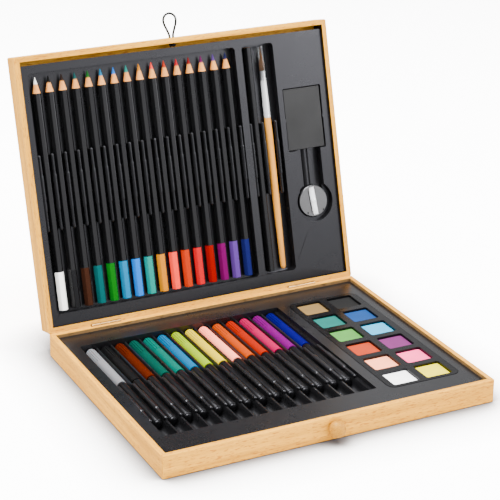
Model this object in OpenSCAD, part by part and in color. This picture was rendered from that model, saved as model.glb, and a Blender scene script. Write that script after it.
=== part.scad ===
// Hinged wooden colouring case, standing open. The lid holds sixteen coloured
// pencils, a lead pencil, a brush, a boxed eraser and a sharpener. The base
// holds fourteen felt pens and a box of twelve paints. Both halves have a
// formed black tray. Millimetres. The origin is the centre of the base's
// underside, +X to the right, +Y to the hinges at the back, +Z up.

/* [Case] */
// Width of the case, side to side
case_w = 260; // [240:1:290]
// Depth of the case, front to hinges
case_d = 207; // [190:1:230]
// Height of the base half
base_h = 17.6; // [17:0.1:24]
// Height of the lid half
lid_h = 16.8; // [16.6:0.1:24]
// Thickness of the wooden rails
wall = 4; // [3.4:0.1:5]
// Thickness of the top and bottom boards
board_t = 2.6; // [2:0.1:2.8]
// How far the boards are let into the rails
rebate = 1.6; // [1:0.1:2.2]
// Rounding of the upright corners
corner_r = 1.6; // [0.6:0.1:3]
// Rounding of the long outer edges
edge_r = 1.4; // [0.6:0.1:1.8]
// Rounding of the rims where the halves meet
rim_r = 0.5; // [0.2:0.1:0.9]
// Gap between the two rims when the case is shut
rim_gap = 0.2; // [0.1:0.05:0.5]

/* [Hinges] */
// How far the lid leans back past the shut position, in degrees
open_angle = 105.3; // [92:0.1:112]
// Distance of each hinge from the middle of the case
hinge_x = 84; // [60:1:100]
// Width of a hinge
hinge_w = 24; // [18:1:34]
// Height of a hinge leaf
leaf_h = 11; // [9:0.5:13]
// Thickness of a hinge leaf
leaf_t = 0.8; // [0.6:0.1:1]
// Outer radius of a hinge knuckle
knuckle_r = 1.3; // [1.2:0.05:1.6]
// Radius of a hinge pin
pin_r = 0.6; // [0.5:0.05:0.7]
// Running clearance round a hinge pin
pin_play = 0.05; // [0.03:0.01:0.09]
// Clearance round a hinge leaf in its recess
leaf_play = 0.1; // [0.05:0.05:0.3]
// Reach of the stop lug behind the knuckle
stop_reach = 3.4; // [2.8:0.1:4.4]
// Radius of a screw's shank
screw_r = 0.8; // [0.6:0.1:1]
// Radius of a screw's head
screw_head_r = 1.7; // [1.4:0.1:2]
// Length of a screw
screw_len = 3.4; // [2.4:0.1:4]

/* [Closure] */
// Radius of the wooden ball knob
knob_r = 6; // [4.5:0.1:6.8]
// How far the knob's centre stands out from the front
knob_out = 4.2; // [3.4:0.1:5.5]
// Height of the knob's centre
knob_z = 10; // [8:0.1:10.4]
// Place of the knob along the front
knob_x = -1; // [-6:0.5:6]
// Radius of the dowel that holds the knob
dowel_r = 1.8; // [1.2:0.1:2.4]
// How far the dowel enters the knob
dowel_in = 6; // [4:0.1:7]
// Diameter of the elastic cord
cord_d = 1.6; // [1.2:0.1:1.8]
// Clearance of the cord's holes
cord_play = 0.2; // [0.1:0.05:0.3]
// Radius of the knot behind the rail
knot_r = 2.8; // [2.5:0.1:3.2]
// Thickness of the knot
knot_t = 3; // [2.4:0.1:4]

/* [Trays] */
// Thickness of the formed sheet
sheet_t = 0.8; // [0.6:0.1:1]
// Clearance between a tray and the rails
tray_gap = 0.2; // [0.1:0.05:0.4]
// Depth of the base tray's face below the rim
base_drop = 2.5; // [2:0.1:3]
// Depth of the lid tray's face below the rim
lid_drop = 2.6; // [2:0.1:3]
// Opening left along the lid tray's front edge
front_slit = 3; // [2:0.1:4]
// Radius of the bays' upright corners
bay_r = 3; // [1:0.1:4]
// Radius of a tray's outer corners
tray_r = 2; // [1:0.1:3]
// Length of a clip rib
clip_len = 58; // [40:1:70]
// Length of a clip rib's thick middle
clip_grip = 25.5; // [16:0.5:34]
// Radius of a lid clip rib's thick middle
clip_r = 1.6; // [1.4:0.05:1.6]
// Radius of a lid clip rib's ends
clip_end_r = 1.2; // [1:0.05:1.3]
// Radius of a base clip rib's thick middle
base_clip_r = 1.9; // [1.6:0.05:2]
// Radius of a base clip rib's ends
base_clip_end_r = 1.3; // [1:0.05:1.5]
// Width of the web under a clip rib in the lid
web_w = 2; // [1.6:0.1:2.2]

/* [Pencils] */
// Spare length of the long bays beside a pencil
pencil_room = 4; // [3:0.1:8]
// Gap between the pencils' ends and the bays' hinge side
pencil_end_gap = 1.9; // [0.4:0.1:2.5]
// Clearance between a pencil and a clip rib's thick middle
clip_play = 0.05; // [0.03:0.01:0.3]
// Radius of a coloured lead
lead_r = 1.6; // [1:0.1:1.8]
// Radius of the lead pencil's lead
graphite_r = 1.1; // [0.8:0.1:1.5]
// Length of the sharpened cone
cone_len = 15.3; // [10:0.1:18]
// Length of the colour dip at the end
dip_len = 29; // [18:1:36]
// Thickness of the colour dip
dip_t = 0.1; // [0.06:0.01:0.14]
// How much longer the unsharpened lead pencil is
graphite_more = 0.5; // [0:0.1:1]
// Depth of the pencils' axes below the lid's rim
pencil_depth = 7.2; // [6.8:0.1:7.4]
// Distance from the first pencil to its bay's side
pencil_margin = 6.9; // [6.4:0.1:7.4]
// Width of the left border of the lid tray
lid_border = 5.5; // [4:0.1:6]
// Width of the border along the hinge side of the lid tray
lid_back_border = 8.9; // [7.6:0.1:9.6]
// Width of the border along the knob side of the lid tray
lid_front_border = 9.1; // [9:0.1:12]
// Width of the right border of the lid tray
lid_right_border = 5.7; // [4:0.1:8]
// Width of the land between the two long bays
land_w = 5.8; // [5:0.1:7]
// How far the clip ribs stand nearer the knob side than the bays' middle
clip_shift = 0.8; // [0:0.1:2]

/* [Brush] */
// Distance from the lead pencil to its bay's side
graphite_margin = 6.8; // [6.2:0.1:7.2]
// Distance from the lead pencil to the brush
brush_step = 11.4; // [11.2:0.1:11.8]
// Distance from the brush to its bay's side
brush_margin = 9; // [8.4:0.1:9.4]
// Length of the bristles
bristle_len = 19; // [14:0.5:24]
// Length of the ferrule
ferrule_len = 37; // [28:1:44]
// Radius of the ferrule's mouth
ferrule_mouth_r = 2.2; // [1.8:0.1:2.4]
// Radius of the ferrule at the handle
ferrule_r = 2.6; // [2.4:0.05:2.8]
// Greatest radius of the handle
handle_r = 3; // [2.7:0.1:3.2]
// Radius of the handle's round end
handle_end_r = 2.1; // [1.6:0.1:2.4]
// Outer radius of the clear sleeve over the bristles
sleeve_r = 3.1; // [2.9:0.05:3.2]
// Wall of the clear sleeve
sleeve_t = 0.25; // [0.2:0.05:0.4]
// Length of the clear sleeve
sleeve_len = 27; // [24:0.5:32]

/* [Eraser and sharpener] */
// Width of the boxed eraser
carton_w = 32; // [28:0.5:32]
// Length of the boxed eraser
carton_len = 48.4; // [40:0.1:50]
// Thickness of the boxed eraser
carton_t = 9.6; // [8:0.1:9.8]
// Thickness of the eraser box's card
card_t = 0.5; // [0.3:0.05:0.8]
// Distance from the brush bay to the eraser's bay
carton_land = 4.4; // [4:0.1:5]
// Distance from the hinge side of the case to the eraser
carton_back = 107.3; // [102:0.1:110]
// Clearance round the eraser in its bay
carton_gap = 0.8; // [0.6:0.05:1.2]
// Width of the finger channel
channel_w = 20; // [16:0.5:24]
// Depth of the finger channel below the tray's face
channel_depth = 7; // [5:0.1:9]
// How far the sharpener's centre is right of the eraser's
sharpener_shift = 1.5; // [0:0.1:2]
// Distance from the eraser to the sharpener's centre
sharpener_step = 42.8; // [40:0.1:46]
// Radius of the sharpener
sharpener_r = 12.7; // [11:0.1:13]
// Thickness of the sharpener
sharpener_t = 7.8; // [6.5:0.1:8]
// Radius of the sharpener's well at the tray's face
well_r = 16.2; // [15:0.1:16.4]
// Clearance round the sharpener in its seat
seat_play = 0.4; // [0.3:0.05:0.6]
// Depth of the step in the sharpener's well below the face
well_step = 4.4; // [3:0.1:6]

/* [Pens] */
// Number of felt pens
pen_count = 14; // [14]
// Distance from a cap to the middle between two pens
cap_room = 1.75; // [1.6:0.05:2]
// Length of a capped pen
pen_len = 125; // [110:0.5:128]
// Length of a pen's cap
cap_len = 60; // [50:0.5:63]
// How much slimmer a pen's barrel is than its cap
cap_step = 0.4; // [0.3:0.05:0.6]
// Clearance of a cap in its slot
slot_play = 0.2; // [0.15:0.05:0.3]
// Height of the pens' axes above the underside
pen_z = 8.9; // [8.7:0.1:9.6]
// Height of the lands between the pens' slots
land_z = 11.5; // [11:0.1:12]
// Half the width of a land between two slots
land_half = 0.6; // [0.4:0.05:0.9]
// Height of the base clips' axes
base_clip_z = 12.5; // [12:0.1:12.6]
// Width of the left border of the base tray
base_border = 10.6; // [8:0.1:12]
// Width of the right border of the base tray
base_right_border = 8.5; // [6:0.1:9]
// Distance from the base tray's back to the pens' bay
pen_back_border = 20.5; // [19:0.1:24]
// Distance from the base tray's front to the pens' bay
pen_front_border = 25.5; // [18:0.1:28]
// Space behind the caps in the bay
pen_back_gap = 1.5; // [1:0.1:4]
// Space beside the outermost slots
pen_bay_side = 2; // [1.6:0.1:3]

/* [Paints] */
// Width of the paint box
paint_w = 59; // [57:0.5:60]
// Distance from the paint box to the rails in front of and behind it
paint_end = 20.5; // [17:0.5:24]
// Height of the paint box's top above the underside
paint_top = 15.3; // [14.6:0.1:16]
// Corner radius of the paint box
paint_corner = 6; // [2:0.1:7]
// Land between the pens' bay and the paint box's bay
paint_land = 8.3; // [7:0.1:9]
// Clearance round the paint box
paint_gap = 0.3; // [0.2:0.05:0.5]
// Width of a paint
pan_w = 21; // [18:0.1:23]
// Length of a paint
pan_len = 20; // [17:0.1:22]
// Distance between the two columns of paints
pan_step_x = 27.4; // [25:0.1:29]
// Width of the paint box's border at the first and last paints
pan_border = 3.5; // [2:0.1:5]
// Depth of a paint's surface below the paint box's top
pan_drop = 1.7; // [1:0.1:3]
// Thickness of a paint
pan_t = 6; // [4:0.1:7]
// Clearance round a paint in its well
pan_gap = 0.2; // [0.1:0.05:0.3]

/* [Hidden] */
$fn = 48;
eps = 0.01;

wood = [0.87, 0.73, 0.53];
board = [0.9, 0.77, 0.58];
black_sheet = [0.2, 0.2, 0.21];
black_lacquer = [0.07, 0.07, 0.08];
bare_wood = [0.86, 0.7, 0.5];
steel = [0.72, 0.72, 0.74];

// Name, colour of the lead and the dip
pencils = [
    ["pencil_white", [0.95, 0.95, 0.93]],
    ["pencil_black", [0.05, 0.05, 0.05]],
    ["pencil_brown", [0.36, 0.21, 0.15]],
    ["pencil_petrol", [0, 0.42, 0.43]],
    ["pencil_green", [0.12, 0.52, 0.18]],
    ["pencil_cyan", [0, 0.6, 0.75]],
    ["pencil_sky", [0.33, 0.58, 0.85]],
    ["pencil_aqua", [0.22, 0.62, 0.6]],
    ["pencil_yellow", [0.98, 0.74, 0]],
    ["pencil_salmon", [0.9, 0.42, 0.36]],
    ["pencil_orange", [0.88, 0.28, 0.03]],
    ["pencil_crimson", [0.84, 0.06, 0.2]],
    ["pencil_red", [0.6, 0.05, 0.1]],
    ["pencil_magenta", [0.55, 0.05, 0.42]],
    ["pencil_violet", [0.45, 0.28, 0.62]],
    ["pencil_navy", [0.14, 0.15, 0.42]],
];
// Name and colour of the cap
pens = [
    ["pen_grey", [0.66, 0.66, 0.66]],
    ["pen_black", [0.05, 0.05, 0.05]],
    ["pen_brown", [0.55, 0.2, 0.1]],
    ["pen_forest", [0, 0.42, 0.33]],
    ["pen_teal", [0, 0.58, 0.5]],
    ["pen_cyan", [0, 0.6, 0.82]],
    ["pen_lime", [0.83, 0.88, 0.35]],
    ["pen_yellow", [1, 0.92, 0]],
    ["pen_peach", [0.97, 0.8, 0.7]],
    ["pen_amber", [1, 0.5, 0.02]],
    ["pen_scarlet", [0.98, 0.25, 0.02]],
    ["pen_pink", [0.95, 0.07, 0.55]],
    ["pen_purple", [0.66, 0.17, 0.62]],
    ["pen_blue", [0.17, 0.13, 0.6]],
];
// Paints from the hinge side to the front, left column then right column
paints = [
    [[0.8, 0.69, 0.43], [0, 0.66, 0.62], [0.53, 0.81, 0.45],
     [0.96, 0.4, 0.13], [0.98, 0.83, 0.75], [0.97, 0.97, 0.97]],
    [[0.22, 0.22, 0.22], [0, 0.46, 0.78], [0.55, 0.86, 0.93],
     [0.68, 0.32, 0.66], [0.95, 0.6, 0.8], [0.97, 0.93, 0.5]],
];

// The case
in_w = case_w - 2 * wall;
in_d = case_d - 2 * wall;
lid_rim_z = base_h + rim_gap;
back_y = in_d / 2;

// The leaves are let into the rails. The hinge axis lies in their outer face,
// level with the rims' gap, so that the rims meet edge to edge when open.
hinge_y = case_d / 2;
hinge_z = base_h + rim_gap / 2;
knuckle_gap = 0.2;
knuckle_w = (hinge_w - 2 * knuckle_gap) / 3;
groove_r = knuckle_r + 0.2;
screw_step = hinge_w * 0.5;
screw_drop = leaf_h * 0.64;
stop_gap = 0.03;

// The lid tray, drawn with the lid lying on its back: z is up out of the lid
lid_face = lid_h - lid_drop;
bay_x0 = -in_w / 2 + lid_border;
side_bay_w = graphite_margin + brush_step + brush_margin;
bay_w = in_w - lid_border - land_w - side_bay_w - carton_land - carton_w - 2 * carton_gap
    - lid_right_border;
pencil_pitch = (bay_w - 2 * pencil_margin) / (len(pencils) - 1);
pencil_r = pencil_pitch / 2 - clip_r - clip_play;
pencil_z = lid_h - pencil_depth;
hex_flat = cos(30);
lid_floor = pencil_z - (pencil_r + dip_t) * hex_flat;
first_pencil_x = bay_x0 + pencil_margin;
bay_y1 = back_y - lid_back_border;
bay_y0 = lid_front_border - back_y;
long_bay_len = bay_y1 - bay_y0;
pencil_len = long_bay_len - pencil_room;
pencil_tip_y = bay_y1 - pencil_end_gap - dip_t - pencil_len;
side_bay_x0 = bay_x0 + bay_w + land_w;
graphite_x = side_bay_x0 + graphite_margin;
graphite_len = pencil_len + graphite_more;
brush_x = graphite_x + brush_step;
brush_len = pencil_len;
brush_tip_y = bay_y1 - pencil_end_gap - brush_len;
clip_y = (bay_y0 + bay_y1) / 2 - clip_shift;
lid_clip_z = lid_face - clip_r;
carton_x0 = side_bay_x0 + side_bay_w + carton_land + carton_gap;
carton_y1 = back_y + wall - carton_back;
carton_y0 = carton_y1 - carton_len;
carton_x = carton_x0 + carton_w / 2;
deep_floor = board_t + sheet_t;
well_x = carton_x + sharpener_shift;
well_y = carton_y1 + sharpener_step;
seat_r = sharpener_r + seat_play;
channel_z = lid_face - channel_depth;

// The base tray
base_face = base_h - base_drop;
pen_bay_w = in_w - base_border - paint_land - paint_w - 2 * paint_gap - base_right_border;
pen_pitch = (pen_bay_w - 2 * pen_bay_side) / pen_count;
cap_r = pen_pitch / 2 - cap_room;
barrel_r = cap_r - cap_step;
slot_r = cap_r + slot_play;
slot_flare = pen_pitch / 2 - land_half;
pen_bay_x0 = -in_w / 2 + base_border;
pen_bay_y1 = back_y - pen_back_border;
pen_bay_len = in_d - pen_back_border - pen_front_border;
pen_bay_y0 = pen_bay_y1 - pen_bay_len;
first_pen_x = pen_bay_x0 + pen_bay_side + pen_pitch / 2;
pen_end_y = pen_bay_y1 - pen_back_gap - pen_len;
base_clip_y = pen_end_y + clip_len / 2;
slot_z = pen_z + slot_play;
paint_x = pen_bay_x0 + pen_bay_w + paint_land + paint_gap + paint_w / 2;
paint_len = in_d - 2 * paint_end;
pan_step_y = (paint_len - 2 * pan_border - pan_len) / 5;
paint_floor = board_t + sheet_t + paint_gap;

// The elastic loop's route outside the front rail: place along the rail and
// reach in front of it. The loop lies in one plane, half way up the lid.
loop_route = [
    [-1.4, 0], [-1.5, 1.5], [-2.0, 3.5], [-2.8, 5.5], [-3.6, 7.5], [-4.4, 9.5],
    [-5.0, 11.5], [-5.2, 13.5], [-4.7, 15.5], [-3.5, 17.2], [-1.8, 18.2], [0, 18.6],
    [1.8, 18.2], [3.5, 17.2], [4.7, 15.5], [5.2, 13.5], [5.0, 11.5], [4.4, 9.5],
    [3.6, 7.5], [2.8, 5.5], [2.0, 3.5], [1.5, 1.5], [1.4, 0],
];
loop_z = lid_h / 2;
loop_root_x = loop_route[0][0];
loop_sides = 8;

function pencil_x(i) = first_pencil_x + i * pencil_pitch;
function pen_x(i) = first_pen_x + i * pen_pitch;

// ---- Placing ----

// From a lid lying on its back to the lid shut on the base
module shut() translate([0, 0, lid_rim_z + lid_h]) mirror([0, 0, 1]) children();

// From the shut lid to the lid standing open
module opened()
    translate([0, hinge_y, hinge_z])
    rotate([-open_angle, 0, 0])
    translate([0, -hinge_y, -hinge_z])
    children();

module in_lid() opened() shut() children();

module at_hinges() for (s = [-1, 1]) translate([s * hinge_x, 0, 0]) children();

// Turns a shape drawn along +Z to run along +Y from y0
module along_y(x, y0, z) translate([x, y0, z]) rotate([-90, 0, 0]) children();

// A solid of revolution along +Y from pairs of radius and distance
module turned(x, y0, z, points) along_y(x, y0, z) rotate_extrude() polygon(points);

module rounded_block(x0, y0, z0, w, d, h, r)
    translate([x0, y0, z0])
    linear_extrude(h)
    union() {
        translate([r, 0]) square([w - 2 * r, d]);
        translate([0, r]) square([w, d - 2 * r]);
        for (x = [r, w - r], y = [r, d - r]) translate([x, y]) circle(r);
    }

// ---- Wooden case ----

module corner_waste(r) difference() {
    translate([-eps, -eps]) square([r + eps, r + eps]);
    translate([r, r]) circle(r);
}

// A rail's section, outer face at x = 0, board side down, rim up
module rail_section(h) difference() {
    square([wall, h]);
    translate([wall - rebate, -eps]) square([rebate + eps, board_t + eps]);
    corner_waste(edge_r);
    translate([0, h]) mirror([0, 1]) corner_waste(rim_r);
    translate([wall, h]) mirror([0, 1]) mirror([1, 0]) corner_waste(rim_r / 2);
}

// A mitred rail along X whose outer face is the case's front, for a side of
// length l that lies at distance d from the middle
module rail(l, d, h) intersection() {
    translate([-l / 2, -d, 0]) rotate([90, 0, 90]) linear_extrude(l) rail_section(h);
    translate([0, 0, -eps])
        linear_extrude(h + 2 * eps)
        polygon([[-l / 2, -d], [l / 2, -d], [l / 2 - wall, wall - d], [wall - l / 2, wall - d]]);
}

module case_outline(h)
    rounded_block(-case_w / 2, -case_d / 2, 0, case_w, case_d, h, corner_r);

module front_rail(h) intersection() {
    rail(case_w, case_d / 2, h);
    case_outline(h);
}

module side_rails(h) intersection() {
    for (s = [-1, 1]) rotate([0, 0, s * 90]) rail(case_d, case_w / 2, h);
    case_outline(h);
}

module board_sheet()
    translate([-in_w / 2 - rebate, -in_d / 2 - rebate, 0])
    cube([in_w + 2 * rebate, in_d + 2 * rebate, board_t]);

// Room for a hinge's knuckles and holes for its screws, cut from a back rail
module hinge_groove() at_hinges()
    translate([-hinge_w / 2 - knuckle_gap, hinge_y, hinge_z])
    rotate([0, 90, 0])
    cylinder(h = hinge_w + 2 * knuckle_gap, r = groove_r);

// The recess that lets a leaf into its rail, from z0 up
module leaf_recess(z0, h) at_hinges()
    translate([-hinge_w / 2 - leaf_play, case_d / 2 - leaf_t, z0])
    cube([hinge_w + 2 * leaf_play, leaf_t + eps, h]);

module base_front_rail() color(wood) difference() {
    front_rail(base_h);
    translate([knob_x, -case_d / 2 - eps, knob_z])
        rotate([-90, 0, 0]) cylinder(h = wall + 2 * eps, r = dowel_r);
}

module base_back_rail() color(wood) difference() {
    rotate([0, 0, 180]) front_rail(base_h);
    hinge_groove();
    leaf_recess(hinge_z - leaf_h - leaf_play, leaf_h + leaf_play);
    base_screw_places() screw_shape();
}

module base_side_rails() color(wood) side_rails(base_h);
module base_board() color(board) board_sheet();

module lid_front_rail() color(wood) in_lid() difference() {
    front_rail(lid_h);
    for (s = [-1, 1])
        translate([s * loop_root_x, -case_d / 2 - eps, loop_z])
        rotate([-90, 0, 0])
        cylinder(h = wall + 2 * eps, d = cord_d + 2 * cord_play);
}

module lid_back_rail() color(wood) opened() difference() {
    shut() rotate([0, 0, 180]) front_rail(lid_h);
    hinge_groove();
    leaf_recess(hinge_z, leaf_h + leaf_play);
    lid_screw_places() screw_shape();
}

module lid_side_rails() color(wood) in_lid() side_rails(lid_h);
module lid_board() color(board) in_lid() board_sheet();

// ---- Hinges, shut position, with the axis along X ----

module knuckle(x0, w)
    translate([x0, hinge_y, hinge_z]) rotate([0, 90, 0]) cylinder(h = w, r = knuckle_r);

module pin_bore(play)
    translate([-hinge_w / 2 - eps, hinge_y, hinge_z])
    rotate([0, 90, 0])
    cylinder(h = hinge_w + 2 * eps, r = pin_r + play);

// Clears the other leaf's knuckle over part of the width
module knuckle_room(x0, w)
    translate([x0 - knuckle_gap, hinge_y, hinge_z])
    rotate([0, 90, 0])
    cylinder(h = w + 2 * knuckle_gap, r = groove_r);

// A screw along -Y with its head flush at y = 0
module screw_shape() rotate([90, 0, 0]) mirror([0, 0, 1]) {
    cylinder(h = screw_head_r - screw_r, r1 = screw_head_r, r2 = screw_r);
    cylinder(h = screw_len, r = screw_r);
}

module screw_row(z) at_hinges() for (s = [-0.5, 0.5])
    translate([s * screw_step, hinge_y, z]) mirror([0, 1, 0]) children();

module base_screw_places() screw_row(hinge_z - screw_drop) children();
module lid_screw_places() screw_row(hinge_z + screw_drop) children();

module base_leaf() difference() {
    union() {
        translate([-hinge_w / 2, case_d / 2 - leaf_t, hinge_z - leaf_h]) cube([hinge_w, leaf_t, leaf_h]);
        knuckle(-hinge_w / 2, knuckle_w);
        knuckle(hinge_w / 2 - knuckle_w, knuckle_w);
    }
    knuckle_room(-knuckle_w / 2, knuckle_w);
    pin_bore(pin_play);
}

// The middle knuckle carries the stop lug, which meets the base leaf when open
module lid_leaf() {
    difference() {
        union() {
            translate([-hinge_w / 2, case_d / 2 - leaf_t, hinge_z]) cube([hinge_w, leaf_t, leaf_h]);
            knuckle(-knuckle_w / 2, knuckle_w);
            stop_lug();
        }
        knuckle_room(-hinge_w / 2, knuckle_w);
        knuckle_room(hinge_w / 2 - knuckle_w, knuckle_w);
        pin_bore(pin_play);
    }
}

module stop_lug()
    translate([-knuckle_w / 2, hinge_y, hinge_z])
    rotate([90, 0, 90])
    linear_extrude(knuckle_w)
    translate(stop_gap * [-sin(open_angle - 90), cos(open_angle - 90)])
    polygon([
        [0, 0],
        stop_reach * [cos(open_angle - 90), sin(open_angle - 90)],
        [0.9, stop_reach + 1.2],
        [-eps, stop_reach + 1.8],
    ]);

module base_hinge_leaves() color(steel) difference() {
    at_hinges() base_leaf();
    base_screw_places() screw_shape();
}

module lid_hinge_leaves() color(steel) opened() difference() {
    at_hinges() lid_leaf();
    lid_screw_places() screw_shape();
}

module hinge_pins() color(steel) at_hinges() pin_bore(0);
module base_hinge_screws() color(steel) base_screw_places() screw_shape();
module lid_hinge_screws() color(steel) opened() lid_screw_places() screw_shape();

// ---- Knob and elastic loop ----

// A turned ball, flat where it meets the rail and bored for its dowel
knob_flat = acos(-knob_out / knob_r);
knob_steps = 20;

module knob() color(wood) turned(knob_x, -case_d / 2 - knob_out - knob_r, knob_z, concat(
    [for (k = [0 : knob_steps]) let (a = knob_flat * k / knob_steps)
        [knob_r * sin(a), knob_r * (1 - cos(a))]],
    [[dowel_r, knob_r + knob_out], [dowel_r, knob_r + knob_out - dowel_in],
     [0, knob_r + knob_out - dowel_in]]));

module knob_dowel_shape()
    along_y(knob_x, -case_d / 2 - dowel_in, knob_z) cylinder(h = dowel_in + wall, r = dowel_r);

module knob_dowel() color(bare_wood) knob_dowel_shape();

// The cord's centre line, from the knot through the rail, round and back
loop_points = concat(
    [[loop_root_x, -wall]], loop_route, [[-loop_root_x, -wall]]);

function unit(v) = v / norm(v);
function loop_direction(i) = let (n = len(loop_points) - 1)
    i == 0 || i == n ? unit(loop_points[min(i + 1, n)] - loop_points[max(i - 1, 0)])
    : unit(unit(loop_points[i + 1] - loop_points[i]) + unit(loop_points[i] - loop_points[i - 1]));
function loop_ring(i) = let (p = loop_points[i], d = loop_direction(i))
    [for (k = [0 : loop_sides - 1]) let (a = k * 360 / loop_sides)
        [p[0] - d[1] * cos(a) * cord_d / 2,
         -case_d / 2 - p[1] - d[0] * cos(a) * cord_d / 2,
         loop_z + sin(a) * cord_d / 2]];

module closure_loop() color([0.08, 0.08, 0.08]) in_lid() {
    n = len(loop_points);
    polyhedron(
        points = [for (i = [0 : n - 1]) each loop_ring(i)],
        faces = concat(
            [[for (k = [0 : loop_sides - 1]) k]],
            [for (i = [0 : n - 2], k = [0 : loop_sides - 1])
                let (a = i * loop_sides + k, b = i * loop_sides + (k + 1) % loop_sides)
                each [[a, a + loop_sides, b], [b, a + loop_sides, b + loop_sides]]],
            [[for (k = [loop_sides - 1 : -1 : 0]) (n - 1) * loop_sides + k]]));
}

module loop_knot() color([0.08, 0.08, 0.08]) in_lid()
    turned(0, wall - case_d / 2, loop_z, [
        [0, 0], [knot_r - 0.6, 0], [knot_r, 0.8], [knot_r, knot_t - 1.2],
        [knot_r - 1, knot_t - 0.2], [knot_r - 1.6, knot_t], [0, knot_t]]);

// ---- Trays ----

// A clip rib: a turned bar with a thick middle and thinner, round-nosed ends
clip_slope = 1.2;
nose_steps = [0, 22.5, 45, 67.5, 90];

module clip_bar(x, y_mid, z, r, end_r) turned(x, y_mid - clip_len / 2, z, concat(
    [for (a = nose_steps) [end_r * sin(a), end_r * (1 - cos(a))]],
    [[end_r, (clip_len - clip_grip) / 2 - clip_slope], [r, (clip_len - clip_grip) / 2],
     [r, (clip_len + clip_grip) / 2], [end_r, (clip_len + clip_grip) / 2 + clip_slope]],
    [for (a = nose_steps) [end_r * cos(a), clip_len - end_r * (1 - sin(a))]]));

// A clip rib of the lid tray on its web, which stands on the bay's floor
module web_clip(x) {
    clip_bar(x, clip_y, lid_clip_z, clip_r, clip_end_r);
    translate([x - web_w / 2, clip_y - clip_len / 2 + 1, lid_floor - eps])
        cube([web_w, clip_len - 2, lid_clip_z - lid_floor + eps]);
}

// A flat face with a skirt that stands on the board, open along the front
// where front_gap is more than nothing
module tray_shell(face, front_gap) {
    w = in_w - 2 * tray_gap;
    y0 = -in_d / 2 + tray_gap + front_gap;
    d = in_d - 2 * tray_gap - front_gap;
    difference() {
        rounded_block(-w / 2, y0, board_t, w, d, face - board_t, tray_r);
        rounded_block(sheet_t - w / 2, y0 + sheet_t, board_t - eps,
            w - 2 * sheet_t, d - 2 * sheet_t, face - board_t - sheet_t + eps, tray_r);
        if (front_gap > 0)
            translate([-w / 2 - eps, y0 - eps, board_t - eps])
            cube([w + 2 * eps, sheet_t + 4, face - board_t - sheet_t + eps]);
    }
}

module lid_long_bay(x0, w, grow, z0, h)
    rounded_block(x0 - grow, bay_y0 - grow, z0, w + 2 * grow, long_bay_len + 2 * grow, h,
        bay_r + grow);

module carton_bay(grow, z0, h)
    rounded_block(carton_x0 - carton_gap - grow, carton_y0 - carton_gap - grow, z0,
        carton_w + 2 * (carton_gap + grow), carton_len + 2 * (carton_gap + grow), h, 1 + grow);

module channel_block(grow, z0, h)
    translate([well_x - channel_w / 2 - grow, carton_y1, z0])
    cube([channel_w + 2 * grow, well_y - carton_y1, h]);

module lid_tray() color(black_sheet) in_lid() {
    t = sheet_t;
    top = lid_face + eps;
    nub_r = 4;
    difference() {
        union() {
            tray_shell(lid_face, front_slit);
            lid_long_bay(bay_x0, bay_w, t, lid_floor - t, lid_face - lid_floor + t);
            lid_long_bay(side_bay_x0, side_bay_w, t, lid_floor - t, lid_face - lid_floor + t);
            carton_bay(t, deep_floor - t, lid_face - deep_floor + t);
            translate([well_x, well_y, deep_floor - t])
                cylinder(h = lid_face - deep_floor + t, r = well_r + t);
            channel_block(t, channel_z - t, lid_face - channel_z + t);
        }
        lid_long_bay(bay_x0, bay_w, 0, lid_floor, top - lid_floor);
        lid_long_bay(side_bay_x0, side_bay_w, 0, lid_floor, top - lid_floor);
        difference() {
            carton_bay(0, deep_floor, top - deep_floor);
            for (s = [-1, 1])
                translate([carton_x + s * (carton_w / 2 + nub_r + 0.3), carton_y0 + carton_len / 2, 0])
                cylinder(h = lid_h, r = nub_r);
        }
        translate([well_x, well_y, deep_floor]) cylinder(h = top - deep_floor, r = seat_r);
        translate([well_x, well_y, lid_face - well_step]) cylinder(h = well_step + eps, r = well_r);
        difference() {
            channel_block(0, channel_z, top - channel_z);
            along_y(well_x - 1.5, carton_y1 - 1, channel_z - 2.6)
                cylinder(h = sharpener_step, r = 4);
        }
    }
    for (i = [0 : len(pencils)]) web_clip(pencil_x(i) - pencil_pitch / 2);
    web_clip(graphite_x - pencil_pitch / 2);
    web_clip(graphite_x + pencil_pitch / 2);
    web_clip(brush_x + handle_r + clip_r + 0.6);
}

// A pen's slot: round below the pen and flaring to the lands, grown by the
// sheet for its outer side
module pen_slot(i, grow) {
    l = pen_bay_len + 2 * grow;
    along_y(pen_x(i), pen_bay_y0 - grow, slot_z) cylinder(h = l, r = slot_r + grow);
    translate([pen_x(i), pen_bay_y0 - grow + l, 0])
        rotate([90, 0, 0])
        linear_extrude(l)
        polygon([
            [-slot_r - grow, slot_z], [slot_r + grow, slot_z],
            [slot_flare + grow, land_z + eps], [-slot_flare - grow, land_z + eps]]);
}

module paint_bay(grow, z0, h)
    rounded_block(paint_x - paint_w / 2 - paint_gap - grow, -paint_len / 2 - paint_gap - grow, z0,
        paint_w + 2 * (paint_gap + grow), paint_len + 2 * (paint_gap + grow), h,
        paint_corner + paint_gap + grow);

module base_tray() color(black_sheet) {
    t = sheet_t;
    top = base_face + eps;
    difference() {
        union() {
            tray_shell(base_face, 0);
            rounded_block(pen_bay_x0 - t, pen_bay_y0 - t, land_z - t,
                pen_bay_w + 2 * t, pen_bay_len + 2 * t, base_face - land_z + t, 2);
            for (i = [0 : pen_count - 1]) pen_slot(i, t);
            paint_bay(t, board_t, base_face - board_t);
        }
        rounded_block(pen_bay_x0, pen_bay_y0, land_z, pen_bay_w, pen_bay_len, top - land_z, 1.5);
        for (i = [0 : pen_count - 1]) pen_slot(i, 0);
        paint_bay(0, board_t + t, top - board_t - t);
    }
    for (i = [0 : pen_count])
        clip_bar(pen_x(i) - pen_pitch / 2, base_clip_y, base_clip_z, base_clip_r, base_clip_end_r);
}

// ---- Pencils and brush, in the lid ----

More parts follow.
